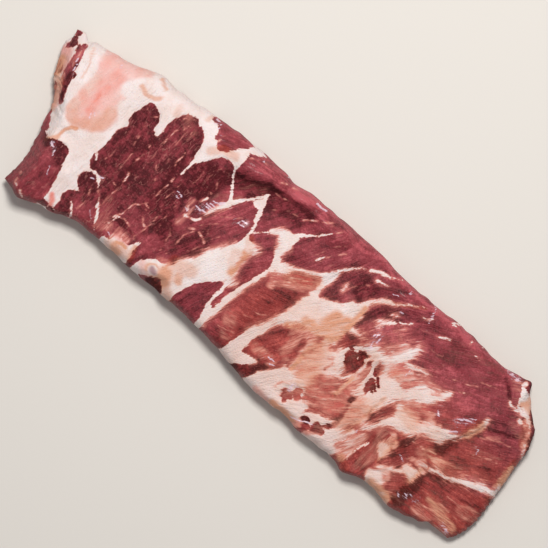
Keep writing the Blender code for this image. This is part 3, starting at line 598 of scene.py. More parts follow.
# thin pale lines in the muscle: path, width, strength
VEINS = (
    (-117, 39, -118.3, 30, -118.2, 22, 1, 0.6), (-116, 48, -114, 42, -111, 40, 1.2, 0.6),
    (-120, 47, -117, 49, -113, 46, -110, 48, 1, 0.5), (-113, 52, -109, 44, -108, 38, 0.9, 0.5),
    (-124, 18, -123.6, 10, -124.2, 0, -122.3, -6, -121, -12, -121.2, -30, 1, 0.55),
    (-137.5, 28, -135.5, 22, -133.5, 10, 0.9, 0.4), (-141, 16, -140, 2, -141, -12, 0.9, 0.4),
    (-143, 36, -138, 33, -134, 36, 0.9, 0.35), (-114, 12, -110, 8, 1, 0.4),
    (-130, 8, -129, -8, -130, -16, 0.8, 0.3), (-118, 20, -117, 8, -117.5, -6, 0.8, 0.3),
    (-108, 20, -106, 8, -105.7, 0, 0.9, 0.5), (-112, 38, -111, 26, -112, 16, 0.8, 0.35),
    (-102.5, 30, -102, 18, -97, 12, -97, 2, -98, -10, -99.3, -15.5, -96, -15, 1.1, 0.6),
    (-99.3, -15.5, -104.5, -20, -106, -28, -109, -34, -111, -39, -111.5, -44, 1.1, 0.6),
    (-86, 33, -83.5, 27, -84, 14, 0.9, 0.5), (-91, 22, -90, 8, -91, -4, 0.8, 0.35),
    (-76, 40, -79, 30, -78, 22, 0.9, 0.4), (-72, 30, -69, 24, -72, 20, 1.4, 0.5),
    (-96.5, -18, -93, -25, -89, -27, 1.4, 0.6), (-82, 2, -83, -12, -80, -24, 0.8, 0.35),
    (-130, -30, -124, -36, -121, -40.5, -118.5, -46, -116, -52, 1.1, 0.5),
    (-136, -32, -132, -40, -133, -50, 1, 0.4), (-128, -18.3, -122, -19.3, 0.9, 0.5),
    (-104, -33, -98, -34, -92, -36, -89, -39, 1.2, 0.5), (-109.3, -42, -108, -49, 1.2, 0.6),
    (-106, -36, -100, -40, -98, -46, 0.9, 0.4), (-114, -36, -117, -44, -112, -52, 1, 0.4),
    (-70.5, 21, -70, 17, -72, 12, -75, 4, -73.5, 0, -73.5, -8, 1.7, 0.9),
    (-88, -10, -87, -24, -90, -36, 0.8, 0.35), (-90, 58, -91, 50, 1.2, 0.6),
    (-72, -2, -66, 0, -63, 5, 1.6, 0.8), (-180.5, -57, -178, -63, -172, -67, 1.6, 0.8),
    (-172, -67, -164, -70, 1.6, 0.8), (-65, -7, -58, -4, -51, -8, 1.6, 0.6),
    (-56, -2, -61, -6.5, -64.5, -13, -65, -22, -65, -31, 1, 0.5),
    (-60.5, 5, -56, 12, -50, 16.5, -45, 20, -42, 23, 1.3, 0.5), (-60, 0, -54, 7, -47, 12, 1, 0.35),
    (-78, -14, -72, -20, -70, -32, 1, 0.35), (-56, 5, -50, -8, -55, -20, 0.9, 0.3),
    (-40, 14, -44, 4, -50, -4, 0.9, 0.3), (-9, 51, -3, 56, 2, 59.5, 8, 62, 1.4, 0.55),
    (1, 45, 7, 51, 12, 57, 18, 65, 1.2, 0.6), (-38, 60.5, -31, 62.5, -26, 64.3, 1, 0.5),
    (-36, 51.5, -29, 53.2, -23.5, 54, 1, 0.45), (-66, 58, -60, 62, -52, 64, 1, 0.35),
    (-30, 42, -22, 48, -14, 50, 1, 0.3), (16, 36, 21, 43, 25, 49, 29, 53, 1.3, 0.6),
    (12, 34, 16, 44, 20, 52, 26, 58, 1, 0.35), (-4, 48, 4, 57, 12, 64, 1, 0.3),
    (24, 36, 30, 46, 36, 54, 42, 58, 1, 0.35), (44, 32, 50, 42, 56, 48, 1.1, 0.4),
    (50, 34, 56, 42, 62, 46, 1, 0.3), (74, 28, 80, 42, 1, 0.4), (96, 36, 100, 34, 104, 38, 1, 0.5),
    (100, 48, 112, 52, 124, 58, 1, 0.3), (110, 42, 124, 44, 134, 48, 1, 0.3),
    (112, 25, 122, 27, 134, 31, 1.6, 0.6), (128, 33, 134, 35, 140, 34, 1.2, 0.5),
    (128, 41, 136, 40, 1.1, 0.45), (144, 38, 152, 41, 160, 46, 1.2, 0.4), (150, 33, 156, 36, 1.3, 0.45),
    (136, 9, 146, 10, 150, 8, 1.2, 0.5), (128, 2, 136, 6, 146, 12, 1.2, 0.45),
    (190, 8, 198, 12, 206, 15, 1.2, 0.5), (186, 20, 196, 26, 206, 30, 1, 0.3),
    (160, 50, 172, 54, 182, 60, 1, 0.3), (180, -34, 196, -33, 212, -34, 1.1, 0.4),
    (184, -42, 200, -40, 214, -40, 1.1, 0.5), (196, -26, 208, -25, 220, -27, 1, 0.35),
    (152, -13, 162, -12, 170, -9, 1.3, 0.55), (156, -25, 164, -22, 170, -20, 1.4, 0.6),
    (150, -18, 158, -18, 1, 0.4), (8, -20, 14, -18, 19, -12, 1, 0.4), (0, -28, 8, -25, 14, -24, 1, 0.4),
    (-6, -32, 2, -32, 10, -30, 1, 0.4), (-4, -44, 4, -42, 9, -40, 1, 0.45),
    (2, 4, 8, 8, 14, 12, 22, 15, 1.8, 0.6), (8, 12, 16, 17, 24, 22, 29, 25, 1.6, 0.6),
    (4, 13, 12, 18, 22, 24, 1.4, 0.45), (4, 9, 12, 13, 20, 17, 1.4, 0.45),
)
# small painted glints: path and width
PAINTED_GLINTS = (
    (-67.5, 14, -62.5, 13.6, 1.2), (-66, 12, -63, 11.8, 1), (-66, 16.2, -62, 16, 0.9),
    (-71.5, 8, -68, 7.4, 1.8), (-66.5, 8.6, -63.5, 9.2, 1.1), (-60.5, 20, -58, 22.5, 1.6),
    (-64.5, 18.5, -61, 19, 0.8), (-76.5, 2, -74, 1, 1.2), (-40.5, 22, -37.5, 22, 1.2),
    (-42, 19.2, -37.5, 19, 1), (-137, -22.5, -133.5, -22, 1), (-140, -27, -138, -26, 1),
    (-88, 6.5, -84, 6, 1), (-87, 4, -85, 3.6, 0.9), (-103, 63.5, -95, 61.5, 1.1),
    (-101, 60.5, -96, 59, 0.8), (84, 27, 84.4, 23, 0.9), (86, 26, 86.3, 21, 0.9), (81.5, 25, 81.7, 22, 0.8),
    (84.5, 18, 86.5, 16, 1.4), (117, 22, 117.3, 16, 0.8), (165, 19.5, 168, 21, 1.2),
    (169, 22.5, 173, 24.5, 1.2), (166, 9.5, 170, 13, 1), (172, 26, 175, 28, 0.8),
    (208, -43.5, 212, -45, 1.2), (171, 69.3, 179, 68, 1.1), (168, -47, 170, -49, 1),
    (173, -44.5, 176, -45.5, 0.9), (117.5, -33, 118.3, -35.5, 1), (151, -26, 156, -28, 1),
    (62.5, -40, 62.8, -43.5, 0.9), (66, -39, 67, -38.3, 0.9),
    (76.5, -58, 80, -56.7, 84, -55, 88, -52.8, 91.5, -51.8, 1.2), (-176.5, -27, -174, -28, 1.4),
    (-171, -30, -170, -33, 0.8), (-180, -40, -179, -44, 0.8), (-166, -40, -164, -46, 0.8),
    (-203, 33, -202, 27, 0.9), (-200.5, 26, -199.5, 20, 0.8), (-169, 9, -166, 7, 0.9),
    (-170, 7, -168.6, 3.6, 0.8), (-178, 47, -175, 44, 0.7), (-58, 63, -50, 62, 0.9),
    (-38, 66, -30, 66, 0.8), (-10, 66.5, 0, 66, 0.8), (80, 66, 82, 62, 1), (102, 68, 103, 62, 0.9),
    (104, 60, 104.4, 56, 0.8), (72, 54, 76, 56, 0.8), (84, 48, 87, 49, 0.8), (37, -37, 42, -36.5, 1),
    (40, -40, 44, -39, 0.9), (-106, -47, -103, -48, 0.9), (-125, -44, -121, -48, 0.8),
    (190, 13, 191.5, 9, 0.8), (150, 15, 154, 12, 0.8), (93, -4.5, 94, -5.5, 0.9),
)
# painted highlights: cool wet shine painted into the colour, which also sets the thin coat
PAINTED_SHINE = (
    (-204, 34, -200, 20, 4, 0.6), (-69, 7, -63, 18, 4, 0.75), (-76, 7, -72, 2, 3, 0.6),
    (-140, -23, -134, -22, 2, 0.8), (-89, 5, -84, 5, 2.5, 0.6), (-45, 18, -38, 22, 2.5, 0.7),
    (84, 27, 86, 15, 6, 0.75), (36, -38, 44, -36, 4, 0.6), (104, 66, 104, 54, 4, 0.5),
    (84, 66, 78, 60, 5, 0.4), (165, 18, 174, 24, 3.5, 0.85), (164, 8, 170, 14, 3.5, 0.75),
    (190, 14, 192, 8, 3, 0.5), (172, 69, 182, 68, 4, 0.85), (174, -46, 182, -42, 4, 0.7),
    (208, -44, 213, -46, 4, 0.8), (64, -40, 63, -44, 3, 0.9), (118, -36, 124, -28, 5, 0.4),
    (-176, -27, -173, -28.5, 2.5, 0.95), (-60, 54, -54, 60, 5, 0.4), (-100, 62, -92, 56, 4, 0.55),
    (-175, -45, -165, -62, 10, 0.3), (-132, -45, -126, -54, 6, 0.35), (-30, 60, 20, 64, 5, 0.3),
    (150, 16, 156, 11, 3, 0.5),
)
# salmon blush and tan stain in the fat
BLUSH = (
    (-214, 28, -208, 18, 5, 0.7), (-200, 8, -196, -6, 4, 0.6), (-99, -44.5, -91, -44.5, 2.5, 0.6),
    (-152.5, -53.5, -149.5, -57, -148, -61, 1.8, 1), (-74, -47, -66, -53, 3, 0.35),
    (66, 66, 70, 66, 3, 0.5), (45, -60, 60, -62, 2.5, 0.6), (80, -59, 92, -58, 3, 0.9),
)
# field of salmon cartilage and thin fat by the shoulder end, and the strokes inside it
SALMON = (
    (-192, 54), (-191.8, 44), (-191, 37), (-188.5, 33), (-187.2, 27), (-187.6, 18), (-187.4, 6),
    (-186.5, -2), (-182, -8), (-175, -9.5), (-168, -7), (-160, -3), (-154.5, 3), (-152.5, 10), (-153, 17),
    (-158, 22), (-160, 27), (-158, 31), (-164, 33), (-166, 38), (-163, 44), (-158, 50), (-154, 55),
    (-160, 60), (-175, 58),
)
SALMON_BLUSH = (
    (-172, 60, -172, -12, 40, 0.42), (-186, 50, -168, 52, 8, 0.5), (-185, 42, -172, 38, 7, 0.58),
    (-184, 26, -184, 4, 4, 0.24), (-176, 38, -174, 20, -172, 2, 6, 0.6), (-184, 14, -176, 8, 3, 0.5),
    (-173.5, 28, -173, 16, -171.5, 6, 2.2, 0.76), (-164, 30, -158, 30, 3, 0.35),
)
SALMON_TAN = (
    (-172, 60, -172, -12, 40, 0.1), (-184, 26, -184, 8, 5, 0.25), (-184, 2, -176, -6, -164, -4, 5, 0.55),
    (-159, 16, -159, 6, -168, -3, 5, 0.6), (-162, 54, -158, 50, 5, 0.3),
)
TAN = (
    (30, -22, 230, -22, 44, 0.32), (-170, -8, -173.5, -9.5, -176, -13, -177, -22, 1.2, 0.9),
    (-182, -28, -176, -21, 1.5, 0.8), (-156, 45, -150, 42.5, -144, 44, -141, 47, 1.6, 0.7),
    (-150, 58, -142, 54.5, 1.1, 0.7), (-126, 52, -125, 46, 2.5, 0.35), (-90, 43, -84, 50, -74, 52, 3, 0.5),
    (-106, 58, -106, 62, 1.5, 0.4), (-23.5, 8, -24.5, -1, -22.5, -10, 3, 1), (-28, 2, -27, -4, 4, 0.35),
    (-28, 16, -24, 10, 3, 0.4), (-48, -36, -46, -40, 3, 0.8), (-56, -32, -44, -29, 5, 0.55),
    (-56, -42, -54, -48, 6, 0.95), (-46, -52, -42, -56, 4, 0.6), (-100, -52, -84, -50, 4, 0.5),
    (10, 15, 26, 24, 5, 0.5), (54, 15, 52, 7, 56, 1, 5, 0.95), (61, 18, 60, 6, 4, 0.9),
    (40, -1, 52, 1, 4, 0.9), (32, -11, 40, -5, 3, 0.95), (55, 26, 62, 29, 3.5, 0.1),
    (64.5, 34, 64.5, 8, 60, -5, 54.5, -13, 54.5, -32, 1.8, 1), (64, 38, 72, 47, 84, 54, 96, 62, 1.4, 0.3),
    (88, 8, 92, 12, 4, 0.5), (60, -10, 66, -30, 8, 0.7), (106, 8, 112, 13, 4, 0.4),
    (112, -14, 118, -10, 4, 0.5), (110, -20, 108, -34, 7, 0.6), (134, -3, 144, -4, 5, 0.6),
    (140, -30, 144, -22, 5, 0.6), (150, -55, 166, -55, 4, 0.95), (162, -31, 169, -32, 4, 0.5),
    (168, -36, 167, -50, 1.6, 0.7), (180, 26, 178, 16, 4, 0.9), (166, -12, 184, -10, 5, 0.6),
    (196, 59, 200, 58, 2.6, 0.8), (192, 57, 195.5, 62, 2, 0.9), (193, 64, 198, 66, 1.2, 0.8),
    (203, 50, 212, 38, 4, 0.4), (217, 22, 219, -6, 3, 1), (-212, 21, -209, 11, 4, 1),
    (-203, 8, -196, -8, 4, 0.7), (-199.5, 42, -197, 37, -194.3, 32, -192.6, 27, -191.6, 21, 0.8, 0.5),
    (-96.5, -48.4, -93, -47, -89, -47.2, 1.2, 1), (-96, -52, -91, -53, 2.6, 0.9),
    (-84.5, -42, -82, -52, 1.6, 0.8), (202, -8, 220, -2, 5, 0.1), (190, -36, 216, -40, 4, 0.8),
    (60, -59, 78, -59, 2.5, 1), (122, -56, 128, -59, 3, 0.95),
)
# coarse bundles with marbling between them
MARBLE = (
    (-220, 0, 230, 0, 200, 0.2), (-138, -50, -138, 35, 16, 0.9), (-112, -50, -112, 50, 16, 1),
    (-84, -35, -82, 40, 16, 0.8), (-172, -60, -170, -30, 18, 0.7), (10, 34, 20, 60, 14, 0.4),
)
# half width in mm over which lean turns to fat
SOFT = (
    (-220, 0, 230, 0, 200, 0.4), (64, 0, 240, 0, 48, 1.1), (-60, 20, -64, 5, 6, 0.9),
    (-70, 47, -57, 27, 4, 0.25), (-58, -37, -48, -14, -36, 6, 3, 1.4), (-12, -50, -8, -20, 2, 10, 4, 0.9),
    (-19, 14, -22, 2, -19, -14, 5, 2.6), (-16, 34, -6, 26, 6, 1.6), (0, 18, 28, 28, 3, 1),
    (4, 8, 28, 16, 5, 1.2), (24, -4, 14, -30, 5, 1.1), (50, -4, 62, -8, 64, -30, 14, 2.6),
    (34, -8, 56, -2, 3, 1.6), (34, 19, 54, 30, 62, 37, 3, 0.7), (84, 26, 106, 34, 11, 3),
    (104, 15, 140, 25, 7, 2.4), (70, -14, 110, -20, 10, 2.6), (78, 2, 88, 2, 9, 0.3),
    (92, 2, 94, -20, 2.5, 1.2), (100, 2, 106, -6, 7, 0.3), (98, 12, 103, 8, 3, 1.4),
    (126, 0, 150, -8, 8, 2.4), (150, 2, 156, 4, 5, 3), (100, -30, 112, -40, 8, 1.8),
    (130, -36, 126, -46, 125, -56, 4, 0.4), (84, 33, 87, 41, 3, 0.6), (88, 43, 97, 48, 3, 0.5),
    (110, 26, 120, 28, 3, 0.8), (148, -40, 160, -50, 7, 2), (176, -10, 206, 0, 5, 2.2),
    (176, -21, 210, -7, 3, 0.7), (66, -47, 69, -42, 6, 0.4), (94, -52, 100, -48, 6, 0.4),
    (83, -53, 88, -52, 3, 0.35), (50, -36, 56, -50, 6, 1),
)
# how the fibres run: path, then direction in degrees from the rack's length
FIBRES = (
    (-172, -64, -170, -30, 84), (-206, 38, -196, 5, -190, -30, 105), (-180, 45, -176, -10, 80),
    (-154, 50, -154, -50, 88), (-138, -50, -138, 35, 92), (-114, -50, -113, 50, 88),
    (-86, -40, -84, 40, 84), (-98, 62, -76, 60, 20), (-62, 62, -20, 63, 20, 66, 8), (-60, 44, -46, 48, 50),
    (-68, -30, -50, 0, -43, 28, 62), (-34, 30, -14, 50, 56), (-40, -30, -28, 10, 66), (-20, 6, -15, 28, 55),
    (-30, -48, -25, -28, 75), (-15, -50, -13, -12, 70), (-2, -48, 4, -20, 12, 2, 14), (4, 28, 18, 58, 60),
    (6, 8, 28, 24, 34), (15, -50, 24, -10, 66), (28, -34, 42, -10, 62), (38, 30, 50, 56, 64),
    (38, 8, 44, 14, 52), (56, 24, 52, -20, 50), (72, 24, 76, 44, 60), (50, 66, 110, 58, 170, 64, 27),
    (84, 18, 104, 34, 50), (80, 6, 86, -8, 62), (102, 4, 104, -10, 62), (66, -16, 110, -26, 42),
    (60, -48, 100, -50, 30), (44, -50, 50, -56, 55), (112, -50, 122, -10, 62), (134, -52, 134, -34, 86),
    (120, 36, 160, 38, 26), (112, 4, 126, 12, 45), (134, -8, 164, 2, 30), (150, -14, 152, -30, 60),
    (152, 14, 172, 26, 34), (186, 36, 198, 14, 190, 2, 28), (176, -30, 214, -24, 8),
    (176, -46, 210, -40, 6), (150, -48, 164, -46, 36),
)


def ease(share):
    """A share held between 0 and 1, leaving and reaching both ends gently."""
    share = np.clip(share, 0.0, 1.0)
    return share**2 * (3 - 2 * share)


def tint(strokes):
    """Soft strokes painted one over another, as a value at each point."""
    shade = np.zeros(x.shape)
    for *path, half_width, strength in strokes:
        cover = ease(1.5 - path_distance(wx, wy, pairs(path))[0] / half_width)
        shade = shade * (1 - cover) + strength * cover
    return shade


dark_and_shade, pale, painted_shine_and_coat, soft = tint(DARK_AND_PAINTED_SHADE), tint(PALE), tint(PAINTED_SHINE), tint(SOFT)
blush, tan, marble = tint(BLUSH), tint(TAN), tint(MARBLE)
SALMON_SPREAD = 0.8     # how far the salmon field reaches past its outline, mm
SALMON_FADE = 3.5       # over what distance it fades in
in_salmon = ease((outline_depth(wx, wy, SALMON) + SALMON_SPREAD) / SALMON_FADE)
in_salmon = in_salmon * (1 + 0.2 * rough(x, y, 5, 9, 32) + 0.16 * rough(x, y, 2.2, 4, 33))
blush = blush + in_salmon * tint(SALMON_BLUSH)
tan = tan + in_salmon * tint(SALMON_TAN)
# the pale lines break up here and there
unbroken = np.clip(0.5 + 1.1 * rough(x, y, 2.4, 2.4, 31), 0.0, 1.0)
for *path, width, strength in VEINS:
    vein_gap = path_distance(wx, wy, smooth_curve(pairs(path), steps=3))[0]
    line = np.clip(1.6 - vein_gap * 2 / width, 0.0, 1.0)
    pale = np.maximum(pale, strength * line * unbroken)
# painted glints, laid into the painted shine
PAINTED_GLINT_STRENGTH = 1.7    # above 1, so that a glint stays bright out to its edge
for *path, width in PAINTED_GLINTS:
    painted_glint = np.clip(1.5 - path_distance(wx, wy, pairs(path))[0] * 2 / width, 0.0, 1.0)
    painted_shine_and_coat = np.maximum(painted_shine_and_coat, PAINTED_GLINT_STRENGTH * painted_glint)

# the cartilage tip on the brisket edge: a grey core with a tan ring round it
GRISTLE_CORE = ((-65.5, -45.6, -62.5, -46.6, 2.2, 1),)
RING_CENTRE = (-64.3, -46)
RING_RADII = (5.2, 4.2)
gristle = tint(GRISTLE_CORE)
tan_ring = np.hypot((wx - RING_CENTRE[0]) / RING_RADII[0], (wy - RING_CENTRE[1]) / RING_RADII[1])
tan = np.maximum(tan, 0.8 * np.exp(-(((tan_ring - 1) * 5.0) ** 2)))

# every point follows its nearest fibre path, and blends into the next nearest one
FIBRE_BLEND = 8         # over how many mm two directions run into each other
FIBRE_CROWD = 3         # they blend less where a third path is not this many mm farther off
fibre_gaps = np.array([path_distance(wx, wy, pairs(path))[0] for *path, degrees in FIBRES])
fibre_turns = np.radians([degrees for *path, degrees in FIBRES])
nearest = np.argsort(fibre_gaps, axis=0)[:3]
first, second, third = np.take_along_axis(fibre_gaps, nearest, axis=0)
turn, next_turn = fibre_turns[nearest[0]], fibre_turns[nearest[1]]
blend = np.clip(0.5 - (second - first) / FIBRE_BLEND, 0.0, 0.5)
blend = blend * np.clip((third - second) / FIBRE_CROWD, 0.0, 1.0)


def fibre_frame(px, py, angle):
    """Each point's position along and across fibres that run at the given angle."""
    return px * np.cos(angle) + py * np.sin(angle), py * np.cos(angle) - px * np.sin(angle)


along_fibre, across_fibre = fibre_frame(x, y, turn)
along_next, across_next = fibre_frame(x, y, next_turn)


def fibre_rough(run_along, run_across, seed):
    """Smooth random heights drawn out along the fibres."""
    return (rough(along_fibre, across_fibre, run_along, run_across, seed) * (1 - blend)
            + rough(along_next, across_next, run_along, run_across, seed) * blend)


# ---------------------------------------------------------------------------------------------------
# Relief of the meat side. Seam fat stands a little above the cut muscle, coarse muscle rises in
# bundles, flaps lie over their neighbours with a step, and the film tore open in a few windows.
# ---------------------------------------------------------------------------------------------------
# heights in mm
FAT_STEP = 0.35         # of seam fat above the lean
CREASE = 0.1            # of the crease between them
WINDOW_DEPTH = 0.5
BUNDLE_RELIEF = 0.5
FIBRE_RELIEF = 0.3
FAT_LUMPS = 0.4
RIB_PUCKER = 0.45
BORDER_EASE = 0.8       # half width of the slope between fat and lean
# path with its higher side on the left, then height of the step, half width, and how far it fades
STEPS = (
    (-30, 56.5, -42, 52, -54, 47, -67, 42, -2.8, 2.5, 8), (-8, 60, -20, 58.5, -30, 57, -1.6, 2.5, 7),
    (-181, -27, -174, -22.5, -166, -23, -160, -36, -157, -52, -158, -66, 1.6, 1.2, 9),
    (-149, 30, -149, 5, -150, -15, 1, 0.8, 6), (170.5, -25, 170, -38, 168, -56, 1.4, 0.8, 6),
    (211, -8.6, 200, -12.5, 191, -17.6, 174, -23, -1, 0.8, 7),
    (182, 30, 180, 21, 174, 10, 170, 3, -1.8, 1.2, 8), (130, -35, 126, -44, 124, -54, 1.2, 0.6, 5),
    (149, -4, 145, -14, 145, -30, 1, 1, 6), (119, -2, 117, -18, 113, -36, 0.9, 1, 6),
    (-207, 42, -205, 30, -197, 16, -191, 0, -0.8, 0.8, 5), (202, 56, 209, 51, 213, 44, 216, 34, 2, 0.8, 6),
    (-86, 64, -78, 52, -86, 48, 0.7, 0.8, 5), (-38, 52, -44, 40, -52, 30, 0.8, 1, 6),
)
# the film puckers along the ribs it was scraped from
PUCKERS = (
    ((64.5, 34), (64.5, 8), (60, -5), (55, -13), (54.5, -32)), ((90.5, -8), (89, -26)),
    ((117, -4), (113, -38)), ((143, -16), (143, -40)), ((170, -24), (168, -57)),
)

meaty = ease((lean + BORDER_EASE + soft) / (2 * BORDER_EASE + 2 * soft))
relief = FAT_STEP * (1 - meaty) - CREASE * np.exp(-(lean / (0.5 + soft)) ** 2) / (1 + soft)
bundles = fibre_rough(22, 5.2, 21) + 0.5 * fibre_rough(11, 2.8, 22)
relief += meaty * (BUNDLE_RELIEF * (0.3 + marble) * bundles)
relief += FIBRE_RELIEF * (0.4 + 0.6 * meaty) * fibre_rough(9, 2.1, 23)
relief += (1 - meaty) * FAT_LUMPS * (rough(x, y, 13, 9, 24) + 0.35 * fibre_rough(14, 3.4, 25))
for outline in WINDOWS:
    relief -= WINDOW_DEPTH * np.clip(outline_depth(wx, wy, outline) / 1.2, 0.0, 1.0)
for *path, drop, half_width, fade in STEPS:
    gap, share, side = path_distance(x, y, smooth_curve(pairs(path), steps=4))
    step = np.sin(np.clip(gap * side / half_width, -1.0, 1.0) * math.pi / 2) / 2
    relief += drop * step * np.exp(-((gap / fade) ** 2)) * np.clip(6 * np.sin(math.pi * share), 0.0, 1.0)
for path in PUCKERS:
    gap, share, side = path_distance(x, y, path)
    wrinkle = rough(x + 2 * y, y, 3.2, 2.6, 27) + 0.6 * rough(x, y, 1.9, 3.5, 28)
    relief += RIB_PUCKER * np.exp(-((gap / 3.2) ** 2)) * wrinkle
    tan = np.maximum(tan, 0.8 * np.exp(-((gap / 2.6) ** 2)))
    dark_and_shade = dark_and_shade + 0.35 * np.exp(-((gap / 2.2) ** 2)) * wrinkle
top_height = rim_height + (meat_top + relief - rim_height) * rise

# ---------------------------------------------------------------------------------------------------
# The bone side, which the rack lies on: the ribs are flat under a thin shiny skin, with the meat
# between them bare and drawn up a little.
# ---------------------------------------------------------------------------------------------------
gap_share = np.clip((rib_wave - RIB_BACK_WAVE) / (1 - RIB_BACK_WAVE), 0.0, 1.0)
BARE_FROM = 0.2         # share of the gap's depth at which the skin gives way to bare meat
BARE_RUN = 0.35         # share over which it does
bare = ease((gap_share - BARE_FROM) / BARE_RUN)
bone_height = GAP_DEPTH * gap_share
under_height = rim_height + (bone_height - rim_height) * rise

cad_centre = np.array([(cad_low[0] + cad_high[0]) / 2, (cad_low[1] + cad_high[1]) / 2]) / MM
OUTLINE_CENTRE = np.array([2.65, 0.7])     # middle of the four cuts' box, mm
shift = cad_centre - OUTLINE_CENTRE

top_points = np.stack([x + shift[0], y + shift[1], top_height], axis=-1).reshape(-1, 3)
under = (slice(2, rows - 2, 2), slice(2, columns - 2, 2))
under_points = np.stack([x[under] + shift[0], y[under] + shift[1], under_height[under]], axis=-1)
under_rows, under_columns = under_points.shape[:2]
under_points = under_points.reshape(-1, 3)
points = np.vstack([top_points, under_points]) * MM

number = np.arange(rows * columns).reshape(rows, columns)
low_number = np.full((rows, columns), -1)
low_number[under] = rows * columns + np.arange(under_rows * under_columns).reshape(under_rows, under_columns)
low_number[0], low_number[-1] = number[0], number[-1]
low_number[:, 0], low_number[:, -1] = number[:, 0], number[:, -1]

top_faces = np.stack([number[:-1, :-1], number[1:, :-1], number[1:, 1:], number[:-1, 1:]], axis=-1)
faces = top_faces.reshape(-1, 4).tolist()
for i in range(0, rows - 1, 2):
    for j in range(0, columns - 1, 2):
        corners = [low_number[i, j]]
        if j == 0:
            corners.append(number[i + 1, j])
        corners.append(low_number[i + 2, j])
        if i + 2 == rows - 1:
            corners.append(number[i + 2, j + 1])
        corners.append(low_number[i + 2, j + 2])
        if j + 2 == columns - 1:
            corners.append(number[i + 1, j + 2])
        corners.append(low_number[i, j + 2])
        if i == 0:
            corners.append(number[i, j + 1])
        faces.append([int(n) for n in reversed(corners)])

mesh = bpy.data.meshes.new("rack")
mesh.from_pydata(points.tolist(), [], faces)
mesh.shade_smooth()
rack = bpy.data.objects.new("rack", mesh)
bpy.context.collection.objects.link(rack)


def both_sides(top_values, under_values):
    """One value for each point of the mesh: the whole top sheet, then the inner points below."""
    return np.concatenate([np.asarray(top_values).reshape(-1), np.asarray(under_values)[under].reshape(-1)])


# the colour map: the meat side's two halves side by side, turned, and the bone side in a strip below
MAP_WIDTH = 304.0       # millimetres of meat across the map
MAP_GAP = 1.5
MAP_STRIP = 0.215       # share of the map left to the bone side
middle_row, middle_column = rows // 2, columns // 2


def running_length(px, py, pz):
    """Length gone along a line of points."""
    return np.concatenate([[0.0], np.cumsum(np.sqrt(np.diff(px)**2 + np.diff(py)**2 + np.diff(pz)**2))])


top_long = running_length(x[:, middle_column], y[:, middle_column], top_height[:, middle_column])
top_wide = running_length(x[middle_row], y[middle_row], top_height[middle_row])
low_long = running_length(x[:, middle_column], y[:, middle_column], under_height[:, middle_column])
low_wide = running_length(x[middle_row], y[middle_row], under_height[middle_row])
grid_row, grid_column = np.indices((rows, columns))
point_row, point_column = both_sides(grid_row, grid_row), both_sides(grid_column, grid_column)
corner_point = np.concatenate(faces)
corner_face = np.repeat(np.arange(len(faces)), [len(face) for face in faces])
corner_row, corner_column = point_row[corner_point], point_column[corner_point]
in_second_half = corner_face // (columns - 1) >= middle_row
across_map = MAP_GAP + top_wide[corner_column] + in_second_half * MAP_WIDTH / 2
along_map = MAP_GAP + top_long[corner_row] - in_second_half * top_long[middle_row]
top_map = np.stack([across_map / MAP_WIDTH, MAP_STRIP + along_map / MAP_WIDTH], axis=-1)
strip_scale = (MAP_STRIP - 2 * MAP_GAP / MAP_WIDTH) / low_wide[-1]
low_run = np.stack([low_long[corner_row], low_wide[corner_column]], axis=-1)
low_map = MAP_GAP / MAP_WIDTH + strip_scale * low_run
on_meat_side = (corner_face < (rows - 1) * (columns - 1))[:, None]
map_places = np.where(on_meat_side, top_map, low_map)
colour_map = mesh.uv_layers.new(name="OFBake")
colour_map.data.foreach_set("uv", map_places.astype(np.float32).reshape(-1))

# on the bone side the colours change over from the meat side's through the lower part of the rim
INNER_FROM = 0.35       # from this share of the rim's height
INNER_RUN = 0.5         # over this share
inner = np.clip((rise - INNER_FROM) / INNER_RUN, 0.0, 1.0)
for name, top_values, under_values in (
    ("lean", lean, FAR * inner + lean * (1 - inner)),
    ("soft", soft, soft * (1 - inner) + 0.3 * inner),
    ("dark_and_shade", dark_and_shade, dark_and_shade * (1 - inner) + 0.35 * inner),
    ("pale", pale, pale * (1 - inner) + (0.96 - 0.84 * bare) * inner),
    ("painted_shine_and_coat", painted_shine_and_coat, painted_shine_and_coat * (1 - inner) + 0.2 * inner),
    ("blush", blush, blush * (1 - inner) + 0.22 * inner),
    ("tan", tan, tan * (1 - inner) + 0.12 * inner),
    ("marble", marble, np.full(marble.shape, 0.1)),
    ("blend", blend, blend),
    ("gristle", gristle, np.zeros(gristle.shape)),
):
    layer = mesh.attributes.new(name, "FLOAT", "POINT")
    layer.data.foreach_set("value", both_sides(top_values, under_values).astype(np.float32))

# the fibres' own positions, each face keeping to one direction
corner_face_start = np.array([face[0] for face in faces])[corner_face]
for name, angle in (("grain", turn), ("grain_next", next_turn)):
    corner_angle = both_sides(angle, angle)[corner_face_start]
    corner_x, corner_y = both_sides(x, x)[corner_point], both_sides(y, y)[corner_point]
    run_along, run_across = fibre_frame(corner_x, corner_y, corner_angle)
    ways = np.stack([run_along, run_across, points[corner_point, 2] / MM], axis=-1)
    layer = mesh.attributes.new(name, "FLOAT_VECTOR", "CORNER")
    layer.data.foreach_set("vector", ways.astype(np.float32).reshape(-1))

# ---------------------------------------------------------------------------------------------------
# The finish of raw meat: wet lean with visible fibres and marbling, waxy white to salmon fat, and thin
# film over both, streaky where it is half see-through, with wet shine painted into the colour as highlights.
# ---------------------------------------------------------------------------------------------------
def srgb(red, green, blue):
    """A colour given as eye values from 0 to 255, as the shader's linear ones."""
    linear = [((value / 255 + 0.055) / 1.055) ** 2.4 if value > 10 else value / 3294.6
              for value in (red, green, blue)]
    return (*linear, 1.0)


